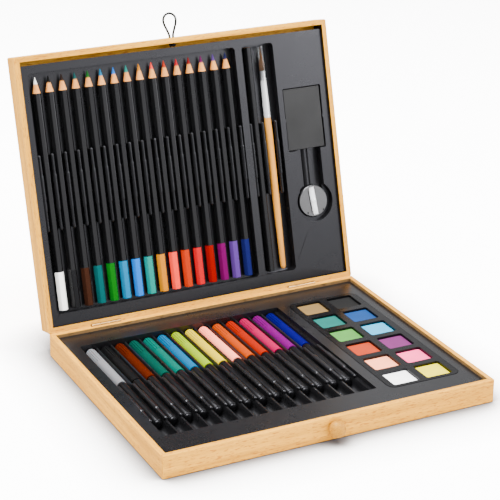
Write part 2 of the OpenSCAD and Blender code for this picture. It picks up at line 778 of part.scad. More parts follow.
// A six-sided bar lying on a flat
module hexagon_bar(x, y0, z, l, r) along_y(x, y0, z) cylinder(h = l, r = r, $fn = 6);

// A coloured pencil: casing with a cone, the lead's point, and a dip over its end
point_r = 0.3;
lead_root = 3;

module pencil(i) {
    x = pencil_x(i);
    y0 = pencil_tip_y;
    z = pencil_z;
    cone = cone_len / pencil_r;
    outer_r = pencil_r + 0.4;
    color(black_lacquer) intersection() {
        hexagon_bar(x, y0, z, pencil_len - 1, pencil_r);
        turned(x, y0, z, [
            [0, lead_r * cone], [lead_r, lead_r * cone], [outer_r, outer_r * cone],
            [outer_r, pencil_len], [0, pencil_len]]);
    }
    color(pencils[i][1]) turned(x, y0, z, [
        [0, point_r * cone], [point_r, point_r * cone], [lead_r, lead_r * cone],
        [lead_r * 0.8, lead_r * cone], [lead_r * 0.8, lead_r * cone + lead_root],
        [0, lead_r * cone + lead_root]]);
    color(pencils[i][1])
        hexagon_bar(x, y0 + pencil_len - dip_len, z, dip_len + dip_t, pencil_r + dip_t);
}

module graphite_pencil() in_lid() {
    y0 = bay_y1 - pencil_end_gap - graphite_len;
    color(black_lacquer) difference() {
        hexagon_bar(graphite_x, y0, pencil_z, graphite_len, pencil_r);
        turned(graphite_x, y0 - 1, pencil_z, [
            [0, 0], [graphite_r, 0], [graphite_r, graphite_len + 2], [0, graphite_len + 2]]);
    }
    color([0.3, 0.3, 0.31]) turned(graphite_x, y0, pencil_z, [
        [0, 0], [graphite_r, 0], [graphite_r, graphite_len], [0, graphite_len]]);
}

brush_z = lid_floor + sleeve_r;
ferrule_y = brush_tip_y + bristle_len;
handle_y = ferrule_y + ferrule_len;
handle_len = brush_len - bristle_len - ferrule_len;
tenon_len = 6;

module brush_handle() color(bare_wood) in_lid() turned(brush_x, handle_y, brush_z, [
    [0, -tenon_len], [ferrule_r - 0.3, -tenon_len], [ferrule_r - 0.3, 0], [ferrule_r, 0],
    [handle_r * 0.97, 8], [handle_r, 16], [handle_r, 30], [handle_r * 0.93, handle_len * 0.5],
    [handle_end_r * 1.1, handle_len - 14], [handle_end_r, handle_len - 3],
    [handle_end_r * 0.8, handle_len - 1.1], [handle_end_r * 0.45, handle_len - 0.2], [0, handle_len]]);

// The ferrule, with three crimped grooves near the handle
module brush_ferrule() color(steel) in_lid() turned(brush_x, ferrule_y, brush_z, [
    [ferrule_mouth_r - 0.2, 0], [ferrule_mouth_r, 0], [ferrule_r * 0.97, ferrule_len * 0.55],
    [ferrule_r, ferrule_len - 8], [ferrule_r - 0.15, ferrule_len - 7.5], [ferrule_r, ferrule_len - 7],
    [ferrule_r, ferrule_len - 5], [ferrule_r - 0.15, ferrule_len - 4.5], [ferrule_r, ferrule_len - 4],
    [ferrule_r, ferrule_len], [ferrule_r - 0.3, ferrule_len], [ferrule_r - 0.3, ferrule_len - tenon_len],
    [ferrule_mouth_r - 0.2, ferrule_len - tenon_len - 1]]);

// Bristles: three-sided strands on a spiral of even spacing, drawn together
// towards the tip by the same share, so that none of them cross. They are
// fused to a slice of their backing in the ferrule's mouth.
bristle_count = 300;
bristle_r = 0.075;
tuft_r = ferrule_mouth_r - 0.2;
tuft_tip = 0.3;

function bristle_root(k) = let (r = (tuft_r - 0.12) * sqrt((k + 0.5) / bristle_count), a = k * 137.508)
    [r * cos(a), r * sin(a)];

module strand(k) {
    root = bristle_root(k);
    tip = bristle_len - 0.004 * k - 0.2 * (k % 7);
    polyhedron(
        points = [for (level = [[0.4, 1], [tip, tuft_tip]], c = [0 : 2])
            [level[1] * (root[0] + bristle_r * cos(c * 120)),
             level[1] * (root[1] + bristle_r * sin(c * 120)),
             level[0]]],
        faces = [[0, 1, 2], [0, 3, 1], [1, 3, 4], [1, 4, 2], [2, 4, 5], [2, 5, 0], [0, 5, 3], [5, 4, 3]]);
}

module brush_bristles() color([0.42, 0.24, 0.12]) in_lid()
    translate([brush_x, ferrule_y, brush_z])
    rotate([90, 0, 0])
    resize([2 * tuft_r, 2 * tuft_r, bristle_len + 1])
    union() {
        translate([0, 0, -1]) cylinder(h = 1.5, r = tuft_r, $fn = 24);
        for (k = [0 : bristle_count - 1]) strand(k);
    }

module brush_sleeve() color([0.8, 0.9, 0.95, 0.35]) in_lid()
    turned(brush_x, brush_tip_y - 0.5, brush_z, [
        [sleeve_r - sleeve_t, 0], [sleeve_r, 0], [sleeve_r, sleeve_len], [sleeve_r - sleeve_t, sleeve_len]]);

// ---- Eraser and sharpener, in the lid ----

carton_z = deep_floor + 0.2;

// A folded card box; the tuck flaps leave a fine slit at both sides
tuck_slit = 0.4;

module eraser_carton() color([0.12, 0.12, 0.13]) in_lid() difference() {
    translate([carton_x0, carton_y0, carton_z]) cube([carton_w, carton_len, carton_t]);
    translate([carton_x0 + card_t, carton_y0 + card_t, carton_z + card_t])
        cube([carton_w - 2 * card_t, carton_len - 2 * card_t, carton_t - 2 * card_t]);
    for (s = [0, 1])
        translate([
            carton_x0 + card_t + s * (carton_w - 2 * card_t - tuck_slit), carton_y0 - eps,
            carton_z + card_t])
        cube([tuck_slit, carton_len + 2 * eps, carton_t - 2 * card_t]);
}

module eraser() color([0.93, 0.93, 0.9]) in_lid()
    translate([carton_x0 + card_t + 0.3, carton_y0 + card_t + 0.3, carton_z + card_t])
    cube([carton_w - 2 * card_t - 0.6, carton_len - 2 * card_t - 0.6, carton_t - 2 * card_t - 0.3]);

sharpener_z = deep_floor + 0.2;
blade_tilt = -5;
blade_w = 4.8;
blade_len = 22.6;
blade_t = 0.6;
blade_seat = 1.2;

module at_sharpener() translate([well_x + 0.4, well_y, sharpener_z]) rotate([0, 0, blade_tilt]) children();

// A round sharpener: cone for the pencil, sloping seat for the blade, and the
// slot through which the shavings leave
module sharpener_body() color([0.55, 0.56, 0.58]) in_lid() at_sharpener() difference() {
    union() {
        cylinder(h = sharpener_t - 0.6, r = sharpener_r);
        translate([0, 0, sharpener_t - 0.6])
            cylinder(h = 0.6, r1 = sharpener_r, r2 = sharpener_r - 0.6);
    }
    translate([0, sharpener_r + 1, sharpener_t - 4]) rotate([90, 0, 0])
        cylinder(h = 2 * sharpener_r, r1 = 4, r2 = 0.8);
    translate([-blade_w / 2 + 0.5, -blade_len / 2, sharpener_t - blade_seat])
        cube([blade_w, blade_len, blade_seat + eps]);
    translate([-blade_w / 2 - 0.9, -blade_len / 2 + 1, sharpener_t - 3])
        cube([1.5, blade_len - 3, 3 + eps]);
    translate([0.5, 0, sharpener_t - 5]) cylinder(h = 5, r = 1);
    for (s = [-1, 1]) translate([s * 7, 8.4, sharpener_t - 0.8]) cylinder(h = 0.8 + eps, r = 0.9);
}

module sharpener_blade() color([0.86, 0.87, 0.88]) in_lid() at_sharpener() {
    difference() {
        translate([-blade_w / 2 + 0.55, -blade_len / 2 + 0.05, sharpener_t - blade_seat])
            cube([blade_w - 0.1, blade_len - 0.1, blade_t]);
        translate([0.5, 0, 0]) cylinder(h = sharpener_t, r = 1);
    }
    translate([0.5, 0, sharpener_t - 5]) cylinder(h = 5 - blade_seat + blade_t, r = 1);
    translate([0.5, 0, sharpener_t - blade_seat + blade_t]) cylinder(h = 0.6, r = 1.8);
}

// ---- Pens and paints, in the base ----

// A felt pen: end plug, barrel with its neck and tip inside the cap, and cap
module pen(i) {
    x = pen_x(i);
    y0 = pen_end_y;
    cap_y = pen_len - cap_len;
    neck_r = barrel_r - 0.7;
    color(black_lacquer) turned(x, y0, pen_z, [
        [0, 0], [barrel_r - 2.1, 0], [barrel_r - 1, 0.5], [barrel_r - 0.6, 1.6], [0, 1.6]]);
    color(black_lacquer) turned(x, y0, pen_z, [
        [0, 1.6], [barrel_r - 0.3, 1.6], [barrel_r, 2], [barrel_r, cap_y - 0.6], [neck_r, cap_y - 0.2],
        [neck_r, cap_y + 18], [1.8, cap_y + 20], [1.2, cap_y + 24], [0.6, cap_y + 24],
        [0.5, cap_y + 28], [0, cap_y + 28.2]]);
    color(pens[i][1]) turned(x, y0, pen_z, [
        [neck_r + 0.1, cap_y], [cap_r - 0.1, cap_y], [cap_r, cap_y + 0.3], [cap_r, pen_len - 1.6],
        [cap_r - 0.5, pen_len - 0.4], [cap_r - 1.2, pen_len], [0, pen_len],
        [0, pen_len - 2], [neck_r + 0.1, pen_len - 2]]);
}

function pan_centre(c, r) = [paint_x + (c - 0.5) * pan_step_x, (2.5 - r) * pan_step_y];

module pan_block(c, r, grow, z0, h) {
    p = pan_centre(c, r);
    rounded_block(p[0] - pan_w / 2 - grow, p[1] - pan_len / 2 - grow, z0,
        pan_w + 2 * grow, pan_len + 2 * grow, h, 1.5 + grow);
}

pan_z = paint_top - pan_drop - pan_t;

module paint_box() color([0.06, 0.06, 0.07]) difference() {
    rounded_block(paint_x - paint_w / 2, -paint_len / 2, paint_floor,
        paint_w, paint_len, paint_top - paint_floor, paint_corner);
    for (c = [0, 1], r = [0 : 5]) pan_block(c, r, pan_gap, pan_z, paint_top - pan_z + eps);
}

module paints() for (c = [0, 1], r = [0 : 5]) color(paints[c][r]) pan_block(c, r, 0, pan_z, pan_t);

base_front_rail();
base_back_rail();
base_side_rails();
base_board();
base_tray();
knob();
knob_dowel();
lid_front_rail();
lid_back_rail();
lid_side_rails();
lid_board();
lid_tray();
base_hinge_leaves();
lid_hinge_leaves();
hinge_pins();
base_hinge_screws();
lid_hinge_screws();
closure_loop();
loop_knot();
for (i = [0 : len(pencils) - 1])
    in_lid() pencil(i);
graphite_pencil();
brush_handle();
brush_ferrule();
brush_bristles();
brush_sleeve();
eraser_carton();
eraser();
sharpener_body();
sharpener_blade();
for (i = [0 : len(pens) - 1])
    pen(i);
paint_box();
paints();
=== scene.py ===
"""The looks of a hinged wooden colouring case: pale wood, two formed black trays,
coloured pencils, a brush, a boxed eraser and a sharpener in the lid, and felt
pens and a box of paints in the base."""
import math

import bmesh
import bpy
from mathutils import Matrix, Vector


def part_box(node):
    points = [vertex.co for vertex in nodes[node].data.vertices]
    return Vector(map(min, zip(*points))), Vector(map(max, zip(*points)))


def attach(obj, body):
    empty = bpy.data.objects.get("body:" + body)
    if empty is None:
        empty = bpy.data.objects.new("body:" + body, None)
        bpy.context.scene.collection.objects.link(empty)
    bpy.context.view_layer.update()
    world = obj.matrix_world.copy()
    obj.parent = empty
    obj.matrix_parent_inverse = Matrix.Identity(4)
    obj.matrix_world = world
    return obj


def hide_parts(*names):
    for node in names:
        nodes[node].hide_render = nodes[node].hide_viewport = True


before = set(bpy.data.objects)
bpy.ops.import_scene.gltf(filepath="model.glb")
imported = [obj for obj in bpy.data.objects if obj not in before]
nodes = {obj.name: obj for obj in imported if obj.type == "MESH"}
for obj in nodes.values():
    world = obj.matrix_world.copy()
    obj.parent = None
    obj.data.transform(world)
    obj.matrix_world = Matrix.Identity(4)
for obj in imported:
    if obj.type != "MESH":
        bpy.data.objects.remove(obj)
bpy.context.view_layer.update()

MM = 0.001

# ---- Where things are, in millimetres ----

CASE_HALF_WIDTH = 130
CASE_BACK = 103.5
CASE_FRONT = -CASE_BACK
WALL = 4
RIM_ROUND = 0.5
RIM_GAP = 0.1
HINGE_Z = 17.7
HINGE = Vector((0, CASE_BACK, HINGE_Z))
LEAF_X = 84
SCREW_STEP = 12
SCREW_DROP = 7.04
SCREW_SINK = 0.12
OPEN_ANGLE = math.radians(105.3)
LID_TOP = 34.6
LOOP_Z = 8.4
KNOB = (-1, -107.7, 10)
KNOB_R = 6
PENCIL_TIP = -88.4
PENCIL_LEN = 177
CONE_FLAT = 13.25
LEAD_LEN = 6.9
DIP_LEN = 29
PENCIL_Z = 9.6
PENCIL_ROUND = 0.62
GRAPHITE_X = 61.9
GRAPHITE_R = 1.2
PEN_END = -47.5
PEN_LEN = 125
CAP_LEN = 60
PEN_X0 = -107.65
PEN_PITCH = 11.5
PEN_Z = 8.9
BRUSH_X = 73.3
BRUSH_Z = 9.54
GUARD_Y = -88.8
FERRULE_Y = -69.3
HANDLE_Y = -32.3
SHARPENER = (105.4, 39.0)
SHARPENER_TOP = 11.4

# The lid is drawn lying on its back, then shut and opened to its place
SHUT = Matrix.Translation((0, 0, LID_TOP)) @ Matrix.Diagonal((1, 1, -1, 1))
TILT = Matrix.Rotation(-OPEN_ANGLE, 4, "X")
OPENED = Matrix.Translation(HINGE) @ TILT @ Matrix.Translation(-HINGE)
LID = OPENED @ SHUT
LID_TURN = TILT.to_3x3()
ALONG_Y = Matrix.Rotation(math.pi / 2, 3, "Z")
LID_ALONG_Y = LID_TURN @ ALONG_Y

# Edges where two faces meet at more than this stay crisp
CREASE = math.radians(38)

PENCIL_INKS = {
    "white": (0.95, 0.95, 0.8824), "black": (0.0024, 0.0024, 0.0026), "brown": (0.0172, 0.0063, 0.0035),
    "petrol": (0, 0.0521, 0.0527), "green": (0, 0.0847, 0.0052), "cyan": (0, 0.1264, 0.2573),
    "sky": (0, 0.1186, 0.4672), "aqua": (0, 0.1748, 0.1446), "yellow": (0.44, 0.15, 0),
    "salmon": (0.761, 0.0334, 0.0176), "orange": (0.34, 0.0185, 0), "crimson": (0.412, 0, 0.0056),
    "red": (0.1742, 0, 0), "magenta": (0.0919, 0, 0.0538), "violet": (0.063, 0.0249, 0.1543),
    "navy": (0.0052, 0.0067, 0.053),
}
CAP_INKS = {
    "grey": (0.1108, 0.1107, 0.1165), "black": (0.002, 0.002, 0.0021), "brown": (0.0381, 0.0036, 0),
    "forest": (0, 0.0325, 0.0221), "teal": (0, 0.0675, 0.0502), "cyan": (0, 0.0674, 0.1509),
    "lime": (0.16, 0.235, 0), "yellow": (0.42, 0.31, 0), "peach": (0.95, 0.2302, 0.1392),
    "amber": (0.26, 0.03, 0), "scarlet": (0.2, 0.0062, 0), "pink": (0.235, 0, 0.037),
    "purple": (0.0839, 0, 0.0729), "blue": (0.0025, 0.0002, 0.0661),
}
# The paint box's left column, then its right one, from the back to the front
PAINT_INKS = [
    [(0.1588, 0.0941, 0.0271), (0, 0.0969, 0.0799), (0.0487, 0.1932, 0.029),
     (0.3, 0.023, 0), (0.95, 0.3076, 0.1515), (0.95, 0.95, 0.95)],
    [(0.0055, 0.0055, 0.0055), (0, 0.0331, 0.1383), (0.0175, 0.2623, 0.4517),
     (0.1099, 0.0108, 0.0835), (0.8453, 0.0681, 0.209), (0.6, 0.5, 0)],
]


# ---- Camera, light and floor ----

def make_camera():
    """The photograph's view: a long lens a little above the case, turned a shade."""
    place = Vector((-548.0, -1049.6, 593.9)) * MM
    azimuth, height, roll = (math.radians(a) for a in (-26.926, 22.571, 0.686))
    back = Vector((math.sin(azimuth) * math.cos(height),
                   -math.cos(azimuth) * math.cos(height),
                   math.sin(height)))
    right = Vector((math.cos(azimuth), math.sin(azimuth), 0))
    up = back.cross(right)
    across = right * math.cos(roll) + up * math.sin(roll)
    upright = up * math.cos(roll) - right * math.sin(roll)
    lens = bpy.data.cameras.new("camera")
    lens.sensor_width = 36
    lens.lens = 129.554
    lens.clip_start = 0.05
    lens.clip_end = 20
    camera = bpy.data.objects.new("camera", lens)
    turn = Matrix((across, upright, back)).transposed().to_4x4()
    camera.matrix_world = Matrix.Translation(place) @ turn
    bpy.context.scene.collection.objects.link(camera)
    bpy.context.scene.camera = camera


def soft_light(name, place, aim, size, power):
    """A softbox at a place in metres, turned to what it is aimed at."""
    lamp = bpy.data.lights.new(name, "AREA")
    lamp.shape = "RECTANGLE"
    lamp.size, lamp.size_y = size
    lamp.energy = power
    holder = bpy.data.objects.new(name, lamp)
    holder.location = place
    holder.rotation_euler = (Vector(aim) - Vector(place)).to_track_quat("-Z", "Y").to_euler()
    bpy.context.scene.collection.objects.link(holder)


def make_studio():
    """A bright, even tent of light. Shiny things see it darker, between soft lamps."""
    world = bpy.data.worlds.new("studio")
    world.use_nodes = True
    tree = world.node_tree
    tree.nodes["Background"].inputs["Color"].default_value = (1, 1, 1, 1)
    path = put(tree, "LightPath")
    tree.links.new(ranged(tree, path.outputs["Is Glossy Ray"], 0, 1, 2.6, 0.16),
                   tree.nodes["Background"].inputs["Strength"])
    bpy.context.scene.world = world
    soft_light("overhead_softbox", (-0.35, 0.35, 1.5), (0, 0, 0.05), (1.3, 1.1), 90)
    soft_light("left_softbox", (-1.0, -1.3, 1.2), (0, 0, 0.1), (1.0, 0.8), 6)
    soft_light("right_softbox", (1.5, 0.1, 0.8), (0, 0, 0.08), (0.7, 1.0), 12)
    soft_light("front_softbox", (0.81, -1.40, 0.58), (0, 0, 0.1), (1.2, 0.95), 7)
    soft_light("key_softbox", (1.13, -1.02, 0.87), (0, 0, 0.1), (0.85, 0.85), 22)
    soft_light("back_softbox", (0.66, 1.3, 0.64), (0.05, 0, 0.02), (0.9, 0.7), 2.4)
    soft_light("small_softbox", (0.63, -0.25, 1.35), (0, 0, 0.1), (0.35, 0.35), 14)

    shape = bmesh.new()
    bmesh.ops.create_grid(shape, x_segments=1, y_segments=1, size=6)
    sheet = bpy.data.meshes.new("studio_floor")
    shape.to_mesh(sheet)
    shape.free()
    sheet.materials.append(make_sweep())
    floor = bpy.data.objects.new("studio_floor", sheet)
    bpy.context.scene.collection.objects.link(floor)


def make_sweep():
    """The floor's finish: blown out white to the eye, grey in reflections, with a painted contact shadow
    in nooks.
    """
    sweep = bpy.data.materials.new("white_sweep")
    sweep.use_nodes = True
    tree = sweep.node_tree
    path = put(tree, "LightPath")
    paint = put(tree, "BsdfDiffuse")
    mirrored = blended(tree, path.outputs["Is Glossy Ray"], grey(0.85), grey(0.12))
    # Painted contact shadow: the floor's colour falls to near black where nearby things hem it in
    contact_shadow_openness = put(tree, "AmbientOcclusion", {"Distance": 0.05}).outputs["AO"]
    seen = blended(tree, maths(tree, "POWER", contact_shadow_openness, 4), (0.06, 0.06, 0.065, 1), grey(2.1))
    tree.links.new(blended(tree, path.outputs["Is Camera Ray"], mirrored, seen), paint.inputs["Color"])
    tree.links.new(paint.outputs[0], tree.nodes["Material Output"].inputs["Surface"])
    return sweep


# ---- Shading tools ----

def finish_of(name, **plain):
    """A new material with its Principled shader's plain numbers set."""
    material = bpy.data.materials.new(name)
    material.use_nodes = True
    shader = material.node_tree.nodes["Principled BSDF"]
    for socket, value in plain.items():
        shader.inputs[socket.replace("_", " ")].default_value = value
    return material, material.node_tree, shader


def give(tree, socket, value):
    """Sets a socket to a number or a colour, or links another node's output to it."""
    if isinstance(value, bpy.types.NodeSocket):
        tree.links.new(value, socket)
    else:
        socket.default_value = value


def put(tree, kind, sockets=None, **settings):
    """Adds a node, with its sockets given by name or number."""
    node = tree.nodes.new("ShaderNode" + kind)
    for key, value in settings.items():
        setattr(node, key, value)
    for key, value in (sockets or {}).items():
        give(tree, node.inputs[key], value)
    return node


def effect(name, inputs, outputs):
    """An empty group for an effect that several finishes share."""
    tree = bpy.data.node_groups.new(name, "ShaderNodeTree")
    for label, kind, value in inputs:
        socket = tree.interface.new_socket(label, in_out="INPUT", socket_type="NodeSocket" + kind)
        if value is not None:
            socket.default_value = value
    for label, kind in outputs:
        tree.interface.new_socket(label, in_out="OUTPUT", socket_type="NodeSocket" + kind)
    return tree, tree.nodes.new("NodeGroupInput").outputs, tree.nodes.new("NodeGroupOutput").inputs


def use(tree, group, sockets):
    """Puts a shared effect into a finish and gives its outputs."""
    node = tree.nodes.new("ShaderNodeGroup")
    node.node_tree = group
    for key, value in sockets.items():
        give(tree, node.inputs[key], value)
    return node.outputs


def maths(tree, operation, a, b):
    return put(tree, "Math", {0: a, 1: b}, operation=operation).outputs[0]


def plus(tree, a, b):
    return maths(tree, "ADD", a, b)


def times(tree, a, b):
    return maths(tree, "MULTIPLY", a, b)


def stretched(tree, vector, factors):
    return put(tree, "VectorMath", {0: vector, 1: factors}, operation="MULTIPLY").outputs[0]


def noise(tree, vector, scale, detail=3.0, rough=0.55, warp=0.0):
    return put(tree, "TexNoise", {"Vector": vector, "Scale": scale, "Detail": detail,
                                  "Roughness": rough, "Distortion": warp}).outputs["Fac"]


def ranged(tree, value, low, high, to_low=0.0, to_high=1.0):
    return put(tree, "MapRange", {"Value": value, "From Min": low, "From Max": high,
                                  "To Min": to_low, "To Max": to_high}).outputs["Result"]


def blended(tree, share, first, second, mode="MIX"):
    node = put(tree, "Mix", data_type="RGBA", blend_type=mode)
    for key, value in ((0, share), (6, first), (7, second)):
        give(tree, node.inputs[key], value)
    return node.outputs[2]


def own_place(tree, turn=None):
    """The piece's own coordinates, turned so that X runs along the grain."""
    where = put(tree, "TexCoord").outputs["Object"]
    if turn is None:
        return where
    return put(tree, "Mapping", {"Vector": where, "Rotation": turn.to_euler()},
               vector_type="TEXTURE").outputs[0]


def relief(tree, shader, height, strength, depth):
    """Lets a height roughen the way light falls on a finish."""
    bump = put(tree, "Bump", {"Height": height, "Strength": strength, "Distance": depth})
    tree.links.new(bump.outputs[0], shader.inputs["Normal"])


def opaque(colour):
    return (*colour, 1)


def grey(level):
    return (level, level, level, 1)


def dimmed(colour, factor):
    """The colour, darker or lighter, with full cover."""
    return opaque(tuple(c * factor for c in colour))


# ---- Shared effects ----

def make_wood_figure():
    """Long streaks, short pores and slow changes of tone, for grain along X."""
    tree, given, made = effect(
        "wood_figure",
        [("Vector", "Vector", None), ("Pale", "Color", (0.8, 0.6, 0.4, 1)),
         ("Dark", "Color", (0.6, 0.4, 0.2, 1)), ("Fineness", "Float", 1.0), ("Pores", "Float", 0.5)],
        [("Color", "Color"), ("Roughness", "Float"), ("Height", "Float")])
    sized = put(tree, "VectorMath", {0: given["Vector"], "Scale": given["Fineness"]},
                operation="SCALE").outputs[0]
    streak = noise(tree, stretched(tree, sized, (9, 190, 190)), 1, 5, 0.62, 0.35)
    fibre = noise(tree, stretched(tree, sized, (45, 1100, 1100)), 1, 3, 0.6)
    pore = ranged(tree, noise(tree, stretched(tree, sized, (240, 1300, 1300)), 1, 2, 0.5), 0.55, 0.68)
    tone = noise(tree, stretched(tree, sized, (4, 26, 26)), 1, 2, 0.5)
    share = plus(tree, times(tree, ranged(tree, streak, 0.4, 0.62), 0.5),
                 times(tree, ranged(tree, fibre, 0.3, 0.7), 0.34))
    share = plus(tree, share, times(tree, ranged(tree, tone, 0.35, 0.65), 0.22))
    body = blended(tree, share, given["Pale"], given["Dark"])
    pored = times(tree, pore, given["Pores"])
    colour = blended(tree, pored, body, blended(tree, 0.75, body, given["Dark"], "MULTIPLY"))
    tree.links.new(colour, made["Color"])
    tree.links.new(ranged(tree, share, 0, 1), made["Roughness"])
    tree.links.new(maths(tree, "SUBTRACT", times(tree, fibre, 0.5), pored), made["Height"])
    return tree


def make_moulded_skin():
    """The fine satin of formed or moulded plastic, with slow flow marks and dust."""
    tree, given, made = effect(
        "moulded_skin",
        [("Vector", "Vector", None), ("Grain", "Float", 1500.0), ("Dust", "Float", 0.3)],
        [("Satin", "Float"), ("Height", "Float"), ("Dust", "Float")])
    grain = noise(tree, given["Vector"], given["Grain"], 2, 0.6)
    flow = noise(tree, given["Vector"], 34, 3, 0.55, 0.8)
    speck = ranged(tree, noise(tree, given["Vector"], 620, 2, 0.5), 0.66, 0.74)
    tree.links.new(plus(tree, times(tree, grain, 0.35), times(tree, flow, 0.65)), made["Satin"])
    tree.links.new(plus(tree, grain, times(tree, flow, 0.6)), made["Height"])
    tree.links.new(times(tree, speck, given["Dust"]), made["Dust"])
    return tree


def make_hairlines():
    """Fine scratches that run one way, as on brushed or often handled things."""
    tree, given, made = effect(
        "hairlines",
        [("Vector", "Vector", None), ("Along", "Float", 60.0), ("Across", "Float", 2600.0)],
        [("Lines", "Float"), ("Scuffs", "Float")])
    stretch = put(tree, "CombineXYZ", {0: given["Along"], 1: given["Across"], 2: given["Across"]})
    lines = noise(tree, stretched(tree, given["Vector"], stretch.outputs[0]), 1, 3, 0.65)
    patch = ranged(tree, noise(tree, given["Vector"], 75, 2, 0.5), 0.5, 0.68)
    tree.links.new(lines, made["Lines"])
    tree.links.new(times(tree, ranged(tree, lines, 0.56, 0.66), patch), made["Scuffs"])
    return tree


def make_braid():
    """Two sets of slanting threads over and under each other, on a cord's own map."""
    tree, given, made = effect(
        "braid", [("Vector", "Vector", None), ("Rows", "Float", 60.0)],
        [("Height", "Float"), ("Shade", "Float")])
    halves = []
    for slant in (1, -1):
        slanted = put(tree, "Mapping", {"Vector": given["Vector"], "Rotation": (0, 0, slant * 0.9)})
        wave = put(tree, "TexWave", {"Vector": slanted.outputs[0], "Scale": given["Rows"],
                                     "Distortion": 0.4, "Detail": 1.0})
        halves.append(wave.outputs["Fac"])
    over = maths(tree, "MAXIMUM", *halves)
    tree.links.new(over, made["Height"])
    tree.links.new(ranged(tree, over, 0.3, 1.0), made["Shade"])
    return tree


WOOD_FIGURE = make_wood_figure()
MOULDED_SKIN = make_moulded_skin()
HAIRLINES = make_hairlines()
BRAID = make_braid()


# ---- Finishes ----

def timber(name, pale, dark, turn=None, fineness=1.0, pores=0.8, gloss=(0.42, 0.62), depth=0.00012):
    """Wood under a thin lacquer. turn lays its grain along the piece."""
    material, tree, shader = finish_of(name, Specular_IOR_Level=0.25, Coat_Weight=0.05,
                                       Coat_Roughness=0.35, Specular_Tint=(1, 0.72, 0.3, 1))
    figure = use(tree, WOOD_FIGURE, {"Vector": own_place(tree, turn), "Pale": opaque(pale),
                                     "Dark": opaque(dark), "Fineness": fineness, "Pores": pores})
    give(tree, shader.inputs["Base Color"], figure["Color"])
    give(tree, shader.inputs["Roughness"], ranged(tree, figure["Roughness"], 0, 1, *gloss))
    relief(tree, shader, figure["Height"], 0.35, depth)
    return material


def plastic(name, colour, gloss=(0.3, 0.46), grain=1500.0, dust=0.25, depth=0.00004,
            strength=0.3, pale=None, **plain):
    """Moulded plastic. pale is the colour that its flow marks shift it to."""
    tint = tuple(c / max(colour) for c in colour)
    material, tree, shader = finish_of(name, Specular_Tint=opaque(tint), **plain)
    where = own_place(tree)
    skin = use(tree, MOULDED_SKIN, {"Vector": where, "Grain": grain, "Dust": dust})
    lines = use(tree, HAIRLINES, {"Vector": where})
    if pale is None:
        pale = tuple(min(1, c * 1.12) for c in colour)
    body = blended(tree, skin["Satin"], opaque(colour), opaque(pale))
    give(tree, shader.inputs["Base Color"], blended(tree, skin["Dust"], body, grey(0.2)))
    satin = ranged(tree, skin["Satin"], 0.3, 0.7, *gloss)
    give(tree, shader.inputs["Roughness"], plus(tree, satin, times(tree, lines["Scuffs"], 0.14)))
    relief(tree, shader, skin["Height"], strength, depth)
    return material


def lacquer(name, colour, gloss, coat=0.0):
    """Dipped lacquer with a faint orange peel, over which the light runs in long lines."""
    return plastic(name, colour, gloss=gloss, grain=260.0, dust=0.02, depth=0.00002, strength=0.1,
                   Coat_Weight=coat, Coat_Roughness=0.12, Specular_IOR_Level=0.22)


def metal(name, colour, gloss=(0.2, 0.36), turn=None, along=60.0, across=2600.0, metallic=1.0):
    """Brushed metal, with its brush lines along X of the turned coordinates."""
    material, tree, shader = finish_of(name, Metallic=metallic)
    where = own_place(tree, turn)
    lines = use(tree, HAIRLINES, {"Vector": where, "Along": along, "Across": across})
    skin = use(tree, MOULDED_SKIN, {"Vector": where, "Grain": 900.0, "Dust": 0.3})
    dim = dimmed(colour, 0.8)
    body = blended(tree, lines["Lines"], opaque(colour), dim)
    give(tree, shader.inputs["Base Color"], blended(tree, times(tree, skin["Satin"], 0.25), body, dim))
    brushed = ranged(tree, lines["Lines"], 0.3, 0.7, *gloss)
    give(tree, shader.inputs["Roughness"], plus(tree, brushed, times(tree, lines["Scuffs"], 0.2)))
    relief(tree, shader, lines["Lines"], 0.2, 0.00003)
    return material


def chalky(name, colour):
    """A pressed cake of paint: matt, with fine pits and a slow unevenness. Its colour is painted darker
    in the pits, as painted shade.
    """
    material, tree, shader = finish_of(name, Specular_IOR_Level=0.2)
    where = own_place(tree)
    crumb = noise(tree, where, 1900, 3, 0.65)
    slow = noise(tree, where, 95, 3, 0.55)
    pits = ranged(tree, noise(tree, where, 800, 2, 0.5), 0.62, 0.72)
    body = blended(tree, ranged(tree, slow, 0.3, 0.7), opaque(colour), dimmed(colour, 0.86))
    # Painted shade: the colour darkens in the pits that the relief sinks
    pit_shaded_colour = blended(tree, times(tree, pits, 0.35), body, dimmed(colour, 0.7))
    give(tree, shader.inputs["Base Color"], pit_shaded_colour)
    give(tree, shader.inputs["Roughness"], ranged(tree, crumb, 0.3, 0.7, 0.72, 0.9))
    bumps = plus(tree, slow, times(tree, crumb, 0.35))
    relief(tree, shader, maths(tree, "SUBTRACT", bumps, times(tree, pits, 0.5)), 0.45, 0.00012)
    return material


def clear_plastic(name):
    """Thin clear plastic, with a little dust on it."""
    material, tree, shader = finish_of(name, Transmission_Weight=1.0, IOR=1.38)
    skin = use(tree, MOULDED_SKIN, {"Vector": own_place(tree), "Grain": 500.0, "Dust": 0.1})
    body = blended(tree, skin["Dust"], (0.97, 0.98, 0.98, 1), (0.8, 0.82, 0.82, 1))
    give(tree, shader.inputs["Base Color"], body)
    give(tree, shader.inputs["Roughness"], ranged(tree, skin["Satin"], 0.3, 0.7, 0.03, 0.09))
    relief(tree, shader, skin["Height"], 0.12, 0.00002)
    return material


